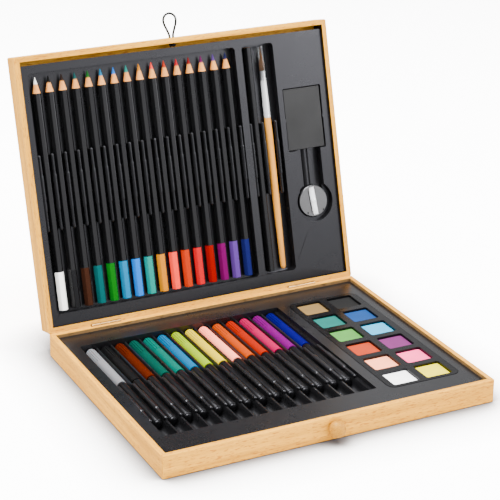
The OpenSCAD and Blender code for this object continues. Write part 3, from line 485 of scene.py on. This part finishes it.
def hair(name):
    """Brown bristles, darker at the root and paler at their tips, strand by strand."""
    material, tree, shader = finish_of(name, Roughness=0.42, Specular_IOR_Level=0.4)
    where = own_place(tree, LID_TURN)
    strand = noise(tree, stretched(tree, where, (5200, 60, 5200)), 1, 2, 0.5)
    share = put(tree, "Attribute", attribute_name="along_strand").outputs["Fac"]
    body = blended(tree, ranged(tree, share, 0.05, 0.9), (0.2, 0.08, 0.035, 1), (0.6, 0.3, 0.14, 1))
    varied = blended(tree, ranged(tree, strand, 0.35, 0.65, 0.0, 0.6), body, (0.5, 0.27, 0.14, 1))
    give(tree, shader.inputs["Base Color"], varied)
    give(tree, shader.inputs["Roughness"], ranged(tree, strand, 0.3, 0.7, 0.34, 0.55))
    relief(tree, shader, strand, 0.15, 0.00002)
    return material


def woven_cord(name):
    """Black braided elastic, on the map that runs along and round the cord."""
    material, tree, shader = finish_of(name, Sheen_Weight=0.08, Sheen_Roughness=0.4,
                                       Specular_IOR_Level=0.25)
    unrolled = put(tree, "TexCoord").outputs["UV"]
    weave = use(tree, BRAID, {"Vector": stretched(tree, unrolled, (1.0, 9.0, 1.0)), "Rows": 3.2})
    body = blended(tree, weave["Shade"], grey(0.002), (0.008, 0.008, 0.0085, 1))
    give(tree, shader.inputs["Base Color"], body)
    give(tree, shader.inputs["Roughness"], ranged(tree, weave["Shade"], 0, 1, 0.85, 0.6))
    relief(tree, shader, weave["Height"], 0.6, 0.00012)
    return material


def stiff_card(name, colour):
    """Printed card: a smooth coat over fine fibres."""
    material, tree, shader = finish_of(name, Coat_Weight=0.08, Coat_Roughness=0.3,
                                       Specular_IOR_Level=0.32)
    where = own_place(tree)
    fibre = noise(tree, where, 2200, 3, 0.6)
    slow = noise(tree, where, 40, 2, 0.5)
    pale = tuple(c * 1.5 + 0.003 for c in colour)
    body = blended(tree, ranged(tree, slow, 0.3, 0.7), opaque(colour), opaque(pale))
    give(tree, shader.inputs["Base Color"], body)
    give(tree, shader.inputs["Roughness"], ranged(tree, fibre, 0.3, 0.7, 0.34, 0.5))
    relief(tree, shader, plus(tree, fibre, slow), 0.25, 0.00004)
    return material


# ---- Shaping tools ----

def turned(points, start, steps):
    """A closed solid of revolution along Y from pairs of radius and distance."""
    shape = bmesh.new()
    line = [shape.verts.new((radius, distance, 0)) for radius, distance in points]
    edges = [shape.edges.new(pair) for pair in zip(line, line[1:])]
    bmesh.ops.spin(shape, geom=line + edges, cent=(0, 0, 0), axis=(0, 1, 0), dvec=(0, 0, 0),
                   angle=2 * math.pi, steps=steps, use_merge=True, use_duplicate=False)
    bmesh.ops.remove_doubles(shape, verts=shape.verts, dist=1e-4)
    bmesh.ops.recalc_face_normals(shape, faces=shape.faces)
    bmesh.ops.translate(shape, verts=shape.verts, vec=start)
    return shape


def solid_copy(name, home=None):
    """A merged copy of a CAD node, in millimetres, with its flat faces made whole.

    home is the move that sets its half in place. The copy is given as it was before that move."""
    shape = bmesh.new()
    shape.from_mesh(nodes[name].data)
    bmesh.ops.scale(shape, vec=(1 / MM, 1 / MM, 1 / MM), verts=shape.verts)
    bmesh.ops.remove_doubles(shape, verts=shape.verts, dist=0.0015)
    bmesh.ops.dissolve_degenerate(shape, dist=0.001, edges=shape.edges)
    bmesh.ops.dissolve_limit(shape, angle_limit=math.radians(0.6), verts=shape.verts, edges=shape.edges)
    bmesh.ops.recalc_face_normals(shape, faces=shape.faces)
    if home is not None:
        bmesh.ops.transform(shape, matrix=home.inverted(), verts=shape.verts)
    return shape


def sharp_edges(shape, limit, wanted):
    """The edges between faces that stand at more than limit degrees to each other."""
    found = []
    for edge in shape.edges:
        if len(edge.link_faces) == 2 and edge.calc_face_angle(0) > math.radians(limit):
            if wanted is None or wanted(edge):
                found.append(edge)
    return found


def softened(shape, width, limit, segments=2, wanted=None):
    """Rounds the shape's sharp edges."""
    bmesh.ops.bevel(shape, geom=sharp_edges(shape, limit, wanted), offset=width, offset_type="OFFSET",
                    segments=segments, profile=0.5, affect="EDGES", material=-1, clamp_overlap=True)
    return shape


def piece(shape, name, body, materials, stands_for=(), place=None, even=False):
    """Turns a shape in millimetres into a finished piece that rides on a body."""
    if place is not None:
        bmesh.ops.transform(shape, matrix=place, verts=shape.verts)
        bmesh.ops.recalc_face_normals(shape, faces=shape.faces)
    bmesh.ops.scale(shape, vec=(MM, MM, MM), verts=shape.verts)
    for face in shape.faces:
        face.smooth = True
    for edge in shape.edges:
        edge.smooth = not (len(edge.link_faces) == 2 and edge.calc_face_angle(0) > CREASE)
    mesh = bpy.data.meshes.new(name)
    shape.to_mesh(mesh)
    shape.free()
    for material in materials:
        mesh.materials.append(material)
    made = bpy.data.objects.new(name, mesh)
    bpy.context.scene.collection.objects.link(made)
    if even:
        flat = made.modifiers.new("even_shading", "WEIGHTED_NORMAL")
        flat.weight = 60
        flat.keep_sharp = True
    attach(made, body)
    if stands_for:
        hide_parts(*stands_for)


def dress(name, material):
    """Gives a CAD node that stays as it is its finish."""
    mesh = nodes[name].data
    mesh.materials.clear()
    mesh.materials.append(material)


# ---- The elastic loop ----

def drawn_cord(name, points, radius, roundness, steps, material, closed=False):
    """A round cord through some points, riding on the lid."""
    line = bpy.data.curves.new(name, "CURVE")
    line.dimensions = "3D"
    line.bevel_depth = radius * MM
    line.bevel_resolution = roundness
    line.resolution_u = steps
    line.use_fill_caps = not closed
    spline = line.splines.new("BEZIER")
    spline.bezier_points.add(len(points) - 1)
    spline.use_cyclic_u = closed
    for knot, point in zip(spline.bezier_points, points):
        knot.co = point
        knot.handle_left_type = knot.handle_right_type = "AUTO"
    line.materials.append(material)
    cord = bpy.data.objects.new(name, line)
    bpy.context.scene.collection.objects.link(cord)
    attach(cord, "lid")
    return cord


def make_loop():
    """The elastic cord, out of the lid's front rail, round and back in."""
    # Pairs of the way sideways and the way out from the rail's face
    half = [(-1.4, -4), (-1.4, 0), (-1.5, 1.5), (-2.0, 3.5), (-2.8, 5.5), (-3.6, 7.5), (-4.4, 9.5),
            (-5.0, 11.5), (-5.2, 13.5), (-4.7, 15.5), (-3.5, 17.2), (-1.8, 18.2)]
    route = half + [(0, 18.6)] + [(-x, out) for x, out in reversed(half)]
    points = [LID @ Vector((x, CASE_FRONT - out, LOOP_Z)) * MM for x, out in route]
    braid = woven_cord("elastic_braid")
    loop = drawn_cord("elastic_loop", points, radius=0.9, roundness=5, steps=6, material=braid)
    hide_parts("closure_loop")

    tie = make_loop_knot(braid)


def make_loop_knot(material):
    """The knot that keeps the cord's ends behind the rail: a small pulled trefoil."""
    count, reach, rise = 24, 0.69, 0.72
    seat = CASE_FRONT + WALL + 1.5
    points = []
    for step in range(count):
        a = 2 * math.pi * step / count
        out = reach * (2 + math.cos(3 * a))
        where = (out * math.cos(2 * a), seat + rise * math.sin(3 * a), LOOP_Z + out * math.sin(2 * a))
        points.append(LID @ Vector(where) * MM)
    tie = drawn_cord("loop_tie", points, radius=0.74, roundness=4, steps=4, material=material,
                     closed=True)
    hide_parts("loop_knot")
    return tie


# ---- Wooden case ----

PALE_WOOD, DARK_WOOD = (0.73, 0.345, 0.022), (0.41, 0.165, 0.006)
PALE_PANEL, DARK_PANEL = (0.75, 0.36, 0.028), (0.45, 0.185, 0.008)


def make_case():
    """The rails and boards of both halves. The rails' inner faces get a much darker wood: painted shade.
    """
    rail_x = timber("rail_wood", PALE_WOOD, DARK_WOOD)
    rail_y = timber("side_rail_wood", PALE_WOOD, DARK_WOOD, ALONG_Y)
    lid_x = timber("lid_rail_wood", PALE_WOOD, DARK_WOOD, LID_TURN)
    lid_y = timber("lid_side_rail_wood", PALE_WOOD, DARK_WOOD, LID_ALONG_Y)
    panel = timber("bottom_panel_wood", PALE_PANEL, DARK_PANEL, fineness=0.7)
    lid_panel = timber("lid_panel_wood", PALE_PANEL, DARK_PANEL, LID_TURN, fineness=0.7)
    # Painted shade: these inner woods are darker copies of the rail wood, nearly black in the lid, for
    # the faces inside the case
    base_painted_shade = timber("base_painted_shade_wood", (0.2, 0.115, 0.045), (0.13, 0.07, 0.027),
                        gloss=(0.6, 0.75))
    lid_painted_shade = timber("lid_painted_shade_wood", (0.022, 0.01, 0.0045), (0.013, 0.006, 0.003),
                       gloss=(0.6, 0.75))
    # Each half's body, the move to its place, the height of its rim and the darker wood painted as shade
    # on its inner faces
    base = ("base", Matrix(), HINGE_Z, base_painted_shade)
    lid = ("lid", LID, LID_TOP - HINGE_Z, lid_painted_shade)
    parts = [
        ("base_front_rail", rail_x, base), ("base_back_rail", rail_x, base),
        ("base_side_rails", rail_y, base), ("lid_front_rail", lid_x, lid),
        ("lid_back_rail", lid_x, lid), ("lid_side_rails", lid_y, lid),
        ("base_board", panel, base), ("lid_board", lid_panel, lid),
    ]
    for name, outer, (body, home, rim, inner) in parts:
        shape = solid_copy(name, home)
        bmesh.ops.recalc_face_normals(shape, faces=shape.faces)
        if name.endswith("back_rail"):
            square_meeting_edge(shape, rim)
        softened(shape, 0.18, limit=40, wanted=lambda edge: not all(meets(v) for v in edge.verts))
        if "board" not in name:
            mark_painted_shade_faces(shape)
        piece(shape, name + "_worked", body, [outer, inner], [name], place=home, even=True)


def meets(vert):
    """Whether a corner lies on the edge where the two halves meet at the hinges."""
    return vert.co.y > CASE_BACK - 0.001 and vert.co.z > LID_TOP - HINGE_Z - 0.01


def square_meeting_edge(shape, rim):
    """Squares a back rail's outer rim edge, so that no light falls between the open halves."""
    for vert in shape.verts:
        below = rim - vert.co.z
        if vert.co.y > CASE_BACK - RIM_ROUND - 0.01 and below < RIM_GAP + RIM_ROUND + 0.01:
            vert.co.y = CASE_BACK
            vert.co.z = rim
    bmesh.ops.remove_doubles(shape, verts=shape.verts, dist=0.001)


def mark_painted_shade_faces(shape):
    """Gives a rail's faces that look into the case the darker wood, which paints the shade inside the
    case onto them.
    """
    for face in shape.faces:
        where, way = face.calc_center_median(), face.normal
        if abs(way.x) > 0.9:
            inward = -way.x * where.x / (CASE_HALF_WIDTH - WALL)
        else:
            inward = -way.y * where.y / (CASE_BACK - WALL)
        if inward > 0.9:
            face.material_index = 1


def make_knob():
    """The turned ball, with a small flat where it meets the rail, and its dowel."""
    to_rail, flat_radius, steps = 4.2, 3.6, 26
    round_to = math.acos(-to_rail / KNOB_R)
    arc = [(KNOB_R * math.sin(round_to * k / steps), KNOB_R * (1 - math.cos(round_to * k / steps)))
           for k in range(steps + 1)]
    shape = turned(arc + [(flat_radius, KNOB_R + to_rail), (0, KNOB_R + to_rail)], (0, 0, 0), 56)
    bmesh.ops.translate(shape, verts=shape.verts, vec=(KNOB[0], KNOB[1] - KNOB_R, KNOB[2]))
    grain = Matrix.Rotation(0.35, 3, "Z") @ ALONG_Y
    ball = timber("knob_wood", (0.42, 0.185, 0.014), (0.29, 0.12, 0.006), grain,
                  fineness=1.5, pores=0.7, gloss=(0.34, 0.5))
    piece(shape, "ball_knob", "base", [ball], ["knob"])
    dress("knob_dowel", ball)


# ---- Trays ----

def make_trays():
    """The two formed trays, in satin black."""
    sheet = plastic("formed_sheet", (0.003, 0.003, 0.0033), gloss=(0.24, 0.34), grain=1700.0,
                    dust=0.02, depth=0.00003, strength=0.2, pale=(0.0045, 0.0045, 0.0049),
                    Specular_IOR_Level=0.48)
    for body in ("base", "lid"):
        shape = softened(solid_copy(body + "_tray"), 0.35, limit=35)
        piece(shape, body + "_tray_formed", body, [sheet], [body + "_tray"], even=True)


# ---- Pencils ----

def make_pencils():
    """Sixteen coloured pencils with dipped ends, and the lead pencil beside them."""
    bare = timber("pencil_cedar", (0.7, 0.3, 0.08), (0.5, 0.18, 0.04), LID_ALONG_Y,
                  fineness=2.2, pores=0.4, gloss=(0.55, 0.7), depth=0.00008)
    black = lacquer("pencil_lacquer", (0.0024, 0.0024, 0.0026), gloss=(0.17, 0.24), coat=0.2)
    on_wood, on_dip, on_lead = 1, 2, 3
    for name, ink in PENCIL_INKS.items():
        dip = lacquer(name + "_dip", ink, gloss=(0.24, 0.32))
        lead = chalky(name + "_lead", tuple(c * 0.92 for c in ink))
        shape = solid_copy("pencil_" + name, LID)
        softened(shape, PENCIL_ROUND, limit=25, segments=4, wanted=runs_along_or_ends)
        bmesh.ops.bisect_plane(shape, geom=shape.verts[:] + shape.edges[:] + shape.faces[:], dist=0.001,
                               plane_co=(0, PENCIL_TIP + CONE_FLAT, 0), plane_no=(0, 1, 0))
        bmesh.ops.recalc_face_normals(shape, faces=shape.faces)
        for face in shape.faces:
            along = face.calc_center_median().y - PENCIL_TIP
            if along > PENCIL_LEN - DIP_LEN - 0.05:
                face.material_index = on_dip
            elif face.normal.y < -0.12 and along < CONE_FLAT:
                face.material_index = on_lead if along < LEAD_LEN - 0.02 else on_wood
        piece(shape, "coloured_pencil_" + name, "pencil_" + name + "_body", [black, bare, dip, lead],
              ["pencil_" + name], place=LID, even=True)
    make_lead_pencil(black, bare)


def runs_along_or_ends(edge):
    """Whether a pencil's edge runs along it or lies round its dipped end."""
    first, second = (vert.co.y for vert in edge.verts)
    return abs(first - second) > 10 or min(first, second) > PENCIL_TIP + PENCIL_LEN - 0.5


def make_lead_pencil(black, bare):
    """The lead pencil, cut square at both ends, with its lead showing there."""
    shape = solid_copy("graphite_pencil", LID)
    softened(shape, PENCIL_ROUND, limit=25, segments=4, wanted=lambda edge: edge.calc_length() > 100)
    bmesh.ops.recalc_face_normals(shape, faces=shape.faces)
    lead = chalky("graphite_lead", (0.05, 0.05, 0.055))
    on_wood, on_lead = 1, 2
    for face in shape.faces:
        if abs(face.normal.y) > 0.9:
            reach = max(math.hypot(v.co.x - GRAPHITE_X, v.co.z - PENCIL_Z) for v in face.verts)
            face.material_index = on_lead if reach < GRAPHITE_R else on_wood
    piece(shape, "lead_pencil", "graphite_pencil_body", [black, bare, lead], ["graphite_pencil"],
          place=LID, even=True)


# ---- Brush ----

def make_brush():
    """The brush: a turned handle, a crimped collar, a tuft and a clear guard over it."""
    wood = timber("brush_handle_wood", (0.66, 0.3, 0.045), (0.52, 0.2, 0.025), LID_ALONG_Y,
                  fineness=1.8, pores=0.35, gloss=(0.25, 0.38), depth=0.00006)
    outline = [(0, -6), (2.3, -6), (2.3, 0), (2.6, 0.05), (2.66, 1.5), (2.8, 4.5), (2.91, 8),
               (2.97, 12), (3, 17), (3, 26), (2.96, 36), (2.89, 48), (2.79, 60), (2.66, 74),
               (2.5, 90), (2.31, 107), (2.2, 114), (2.1, 118), (1.9, 119.4), (1.55, 120.3),
               (1.0, 120.8), (0.5, 120.95), (0, 121)]
    handle = turned(outline, (BRUSH_X, HANDLE_Y, BRUSH_Z), 32)
    piece(handle, "brush_shaft", "brush_body", [wood], ["brush_handle"], place=LID)

    nickel = metal("ferrule_nickel", (0.82, 0.82, 0.83), gloss=(0.14, 0.24), turn=LID_ALONG_Y,
                   along=50, across=1800, metallic=0.45)
    mouth = [(2.0, 0.3), (2.0, 0.05), (2.1, 0), (2.2, 0.1), (2.24, 4)]
    crimps = [(2.52, 20.35), (2.6, 29), (2.6, 29.2), (2.47, 29.5), (2.6, 29.8), (2.6, 30), (2.6, 32),
              (2.6, 32.2), (2.47, 32.5), (2.6, 32.8), (2.6, 33), (2.6, 34.4), (2.53, 34.6), (2.6, 34.8)]
    inside = [(2.6, 36.8), (2.56, 37), (2.3, 37), (2.3, 31), (2.0, 30), (2.0, 0.3)]
    ferrule = turned(mouth + crimps + inside, (BRUSH_X, FERRULE_Y, BRUSH_Z), 40)
    piece(ferrule, "brush_collar", "brush_body", [nickel], ["brush_ferrule"], place=LID)
    make_bristles()

    wall = [(2.85, 0), (3.0, -0.05), (3.1, 0.05), (3.1, 26.9), (3.05, 27), (2.85, 27), (2.85, 0)]
    tube = turned(wall, (BRUSH_X, GUARD_Y, BRUSH_Z), 40)
    piece(tube, "clear_guard", "brush_body", [clear_plastic("clear_guard_plastic")], ["brush_sleeve"],
          place=LID)


def make_bristles():
    """A round tuft: strands from the collar's mouth, full at the belly, drawn to a point."""
    count, tuft_radius, seated, longest = 330, 1.84, 0.9, 18.9
    golden_angle = math.radians(137.508)
    shape = bmesh.new()
    share_of = shape.verts.layers.float.new("along_strand")
    for k in range(count):
        root = tuft_radius * math.sqrt((k + 0.5) / count)
        angle = k * golden_angle
        length = longest - 2.6 * (root / tuft_radius) ** 2 - 0.22 * (k % 7)
        made = bmesh.ops.create_cone(shape, segments=3, radius1=0.085, radius2=0.03, depth=1,
                                     cap_ends=True)
        lengthwise = {e for v in made["verts"] for e in v.link_edges
                      if abs(e.verts[0].co.z - e.verts[1].co.z) > 0.5}
        bmesh.ops.subdivide_edges(shape, edges=list(lengthwise), cuts=4)
        fresh = [vert for vert in shape.verts if not vert.tag]
        for vert in fresh:
            along = vert.co.z + 0.5
            belly = root * (1 + 0.28 * math.sin(math.pi * min(1, along * 1.7)) - 0.9 * along ** 2.2)
            sway = 0.05 * math.sin(k * 2.3) * along * along
            thin = 1 - 0.5 * along
            vert.tag = True
            vert[share_of] = along
            vert.co = Vector((BRUSH_X + belly * math.cos(angle) + vert.co.x * thin + sway,
                              FERRULE_Y + seated - along * (length + seated),
                              BRUSH_Z + belly * math.sin(angle) + vert.co.y * thin))
    bmesh.ops.recalc_face_normals(shape, faces=shape.faces)
    piece(shape, "brush_tuft", "brush_body", [hair("bristle_hair")], ["brush_bristles"], place=LID)


# ---- Eraser and sharpener ----

def make_eraser():
    """The eraser and the card box round it."""
    card = stiff_card("eraser_card", (0.004, 0.004, 0.0045))
    shape = softened(solid_copy("eraser_carton"), 0.6, limit=40, segments=3)
    piece(shape, "eraser_box", "eraser_body", [card], ["eraser_carton"], even=True)
    dress("eraser", chalky("eraser_rubber", (0.82, 0.82, 0.79)))


def raise_faces(shape, faces, height):
    """Draws faces up along Z and gives what the extrusion made."""
    made = bmesh.ops.extrude_face_region(shape, geom=faces)["geom"]
    top = [v for v in made if isinstance(v, bmesh.types.BMVert)]
    bmesh.ops.translate(shape, verts=top, vec=(0, 0, height))
    return made


def slotted_head(radius, height, slot, depth):
    """A screw's head, slightly crowned, with a driver's slot across it. Its seat is at z = 0."""
    shape = bmesh.new()
    steps = 14
    start = math.asin(slot / 2 / radius)
    for half in range(2):
        turns = [start + (math.pi - 2 * start) * k / steps for k in range(steps + 1)]
        corners = [shape.verts.new((radius * math.cos(a), radius * math.sin(a), 0)) for a in turns]
        made = raise_faces(shape, [shape.faces.new(corners)], height)
        rim_edges = [e for e in made if isinstance(e, bmesh.types.BMEdge)]
        bmesh.ops.bevel(shape, geom=rim_edges, offset=height * 0.3, offset_type="OFFSET", segments=2,
                        profile=0.5, affect="EDGES", material=-1)
        if half == 0:
            about = Matrix.Rotation(math.pi, 3, "Z")
            bmesh.ops.rotate(shape, verts=shape.verts, cent=(0, 0, 0), matrix=about)
    floor = bmesh.ops.create_circle(shape, cap_ends=True, segments=28, radius=radius * 0.98)
    raise_faces(shape, list({f for v in floor["verts"] for f in v.link_faces}), height - depth)
    bmesh.ops.recalc_face_normals(shape, faces=shape.faces)
    return shape


def joined(shapes):
    """Several shapes as one, each moved to its place."""
    whole = bmesh.new()
    for shape, place in shapes:
        bmesh.ops.transform(shape, matrix=place, verts=shape.verts)
        bmesh.ops.recalc_face_normals(shape, faces=shape.faces)
        part = bpy.data.meshes.new("part")
        shape.to_mesh(part)
        shape.free()
        whole.from_mesh(part)
        bpy.data.meshes.remove(part)
    return whole


def make_sharpener():
    """The round sharpener, and its ground blade with a slotted screw."""
    alloy = metal("sharpener_alloy", (0.17, 0.17, 0.175), gloss=(0.34, 0.5), turn=LID_TURN,
                  along=300, across=1500)
    steel = metal("blade_steel", (0.92, 0.92, 0.93), gloss=(0.1, 0.2), turn=LID_ALONG_Y,
                  along=90, across=3000, metallic=0.35)
    disc = softened(solid_copy("sharpener_body"), 0.2, limit=40)
    piece(disc, "sharpener_disc", "sharpener_body", [alloy], ["sharpener_body"], even=True)

    width, length, thickness, screw_x = 4.7, 22.5, 0.6, 0.5
    blade = bmesh.new()
    bmesh.ops.create_cube(blade, size=1)
    bmesh.ops.scale(blade, vec=(width, length, thickness), verts=blade.verts)
    ground = [e for e in blade.edges if all(v.co.x < 0 and v.co.z > 0 for v in e.verts)]
    bmesh.ops.bevel(blade, geom=ground, offset=0.55, offset_type="OFFSET", segments=1, profile=0.5,
                    affect="EDGES", material=-1)
    softened(blade, 0.08, limit=20, segments=1)
    head = slotted_head(radius=1.75, height=0.6, slot=0.5, depth=0.4)
    shank = turned([(0, 0), (0.95, 0), (0.95, 4.2), (0, 4.2)], (0, 0, 0), 20)

    at = Matrix.Translation((*SHARPENER, SHARPENER_TOP)) @ Matrix.Rotation(math.radians(-5), 4, "Z")
    whole = joined([
        (blade, at @ Matrix.Translation((screw_x, 0, -0.9))),
        (head, at @ Matrix.Translation((screw_x, 0, -0.6)) @ Matrix.Rotation(0.9, 4, "Z")),
        (shank, at @ Matrix.Translation((screw_x, 0, -5)) @ Matrix.Rotation(math.pi / 2, 4, "X")),
    ])
    piece(whole, "sharpener_knife", "sharpener_body", [steel], ["sharpener_blade"], place=LID)


# ---- Hinges ----

def make_hinges():
    """The hinges' leaves, pins and screws, with a slotted head laid on each screw."""
    plated = metal("hinge_plate", (0.62, 0.36, 0.13), gloss=(0.3, 0.42), along=80, across=1500)
    for body in ("base", "lid"):
        leaves = body + "_hinge_leaves"
        shape = softened(solid_copy(leaves), 0.1, limit=40, segments=1)
        piece(shape, leaves + "_pressed", body, [plated], [leaves], even=True)
    for name in ("hinge_pins", "base_hinge_screws", "lid_hinge_screws"):
        dress(name, plated)
    for body, way, slot_turn, place in (("base", -1, 0.6, None), ("lid", 1, 1.1, OPENED)):
        heads = []
        for side in (-1, 1):
            for step in (-0.5, 0.5):
                at = Matrix.Translation((side * LEAF_X + step * SCREW_STEP, HINGE.y - SCREW_SINK,
                                         HINGE.z + way * SCREW_DROP))
                turn = Matrix.Rotation(slot_turn + side - way * step, 4, "Z")
                heads.append((slotted_head(radius=1.6, height=0.3, slot=0.45, depth=0.22),
                              at @ Matrix.Rotation(-math.pi / 2, 4, "X") @ turn))
        piece(joined(heads), body + "_screw_heads", body, [plated], place=place)


# ---- Pens ----

def make_pens():
    """Fourteen felt pens: black barrels under coloured caps."""
    black = plastic("pen_barrel", (0.0018, 0.0018, 0.002), gloss=(0.26, 0.36), grain=1300.0,
                    dust=0.012, Specular_IOR_Level=0.22)
    mouth = PEN_LEN - CAP_LEN
    outline = [(0, 0), (1.3, 0), (1.5, 0.06), (2.55, 0.42), (2.85, 0.9), (3.0, 1.5), (3.02, 1.62),
               (3.3, 1.66), (3.52, 1.85), (3.6, 2.1), (3.6, 12), (3.6, mouth - 4), (3.6, mouth - 1.1),
               (3.55, mouth - 0.8), (3.4, mouth - 0.6), (3.1, mouth - 0.4), (2.9, mouth),
               (2.9, mouth + 6), (0, mouth + 6)]
    for i, (name, ink) in enumerate(CAP_INKS.items()):
        coat = plastic(name + "_cap", ink, gloss=(0.45, 0.6), grain=1100.0, dust=0.03,
                       Subsurface_Weight=0.0 if name == "black" else 0.06, Subsurface_Scale=0.002,
                       Specular_IOR_Level=0.06)
        centre = (PEN_X0 + i * PEN_PITCH, PEN_END, PEN_Z)
        body = "pen_" + name + "_body"
        piece(turned(outline, centre, 40), "barrel_" + name, body, [black])
        piece(make_cap(centre, mouth), "cap_" + name, body, [coat], ["pen_" + name])


def make_cap(centre, mouth):
    """A cap with a raised lip at its mouth and fine grooves over its closed end."""
    steps, steps_between, groove, grooves_from = 84, 6, 0.5, PEN_LEN - 22
    shape = turned([(3.02, mouth + 5), (3.02, mouth + 0.1), (3.3, mouth - 0.02), (3.78, mouth),
                    (3.95, mouth + 0.12), (4.0, mouth + 0.35), (4.0, mouth + 1.5), (3.95, mouth + 1.75),
                    (3.93, mouth + 2.1), (3.95, mouth + 8), (4.0, grooves_from - 1), (4.0, grooves_from),
                    (4.0, grooves_from + 0.9), (4.0, PEN_LEN - 8), (3.98, PEN_LEN - 2.6),
                    (3.86, PEN_LEN - 1.5), (3.6, PEN_LEN - 0.75), (3.2, PEN_LEN - 0.28),
                    (2.6, PEN_LEN - 0.04), (2.0, PEN_LEN), (0, PEN_LEN)], (0, 0, 0), steps)
    for vert in shape.verts:
        reach = math.hypot(vert.co.x, vert.co.z)
        if vert.co.y > grooves_from + 0.5 and reach > 3.4:
            turn = round(math.atan2(vert.co.z, vert.co.x) / (2 * math.pi / steps))
            if turn % steps_between == 0:
                vert.co.x *= 1 - groove / reach
                vert.co.z *= 1 - groove / reach
    bmesh.ops.translate(shape, verts=shape.verts, vec=centre)
    return shape


# ---- Paints ----

def make_paints():
    """The paint box, and two columns of cakes, each in its own colour."""
    black = plastic("paint_box_plastic", (0.0025, 0.0025, 0.0028), gloss=(0.2, 0.32), grain=1300.0,
                    dust=0.02, Specular_IOR_Level=0.16)
    shape = softened(solid_copy("paint_box"), 0.35, limit=35)
    piece(shape, "paint_palette", "paint_box_body", [black], ["paint_box"], even=True)

    cakes = [chalky(f"paint_{column}_{row}", ink)
             for column, inks in enumerate(PAINT_INKS) for row, ink in enumerate(inks)]
    rows, to_first = len(PAINT_INKS[0]), 10
    low, high = (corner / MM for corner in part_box("paints"))
    step = (high.y - low.y - 2 * to_first) / (rows - 1)
    shape = softened(solid_copy("paints"), 0.45, limit=35, segments=3)
    for face in shape.faces:
        centre = face.calc_center_median()
        row = min(rows - 1, max(0, round((high.y - to_first - centre.y) / step)))
        column = 1 if centre.x > (low.x + high.x) / 2 else 0
        face.material_index = column * rows + row
    piece(shape, "paint_cakes", "paint_box_body", cakes, ["paints"], even=True)


make_camera()
make_loop()
make_studio()
make_case()
make_knob()
make_trays()
make_pencils()
make_brush()
make_eraser()
make_sharpener()
make_hinges()
make_pens()
make_paints()
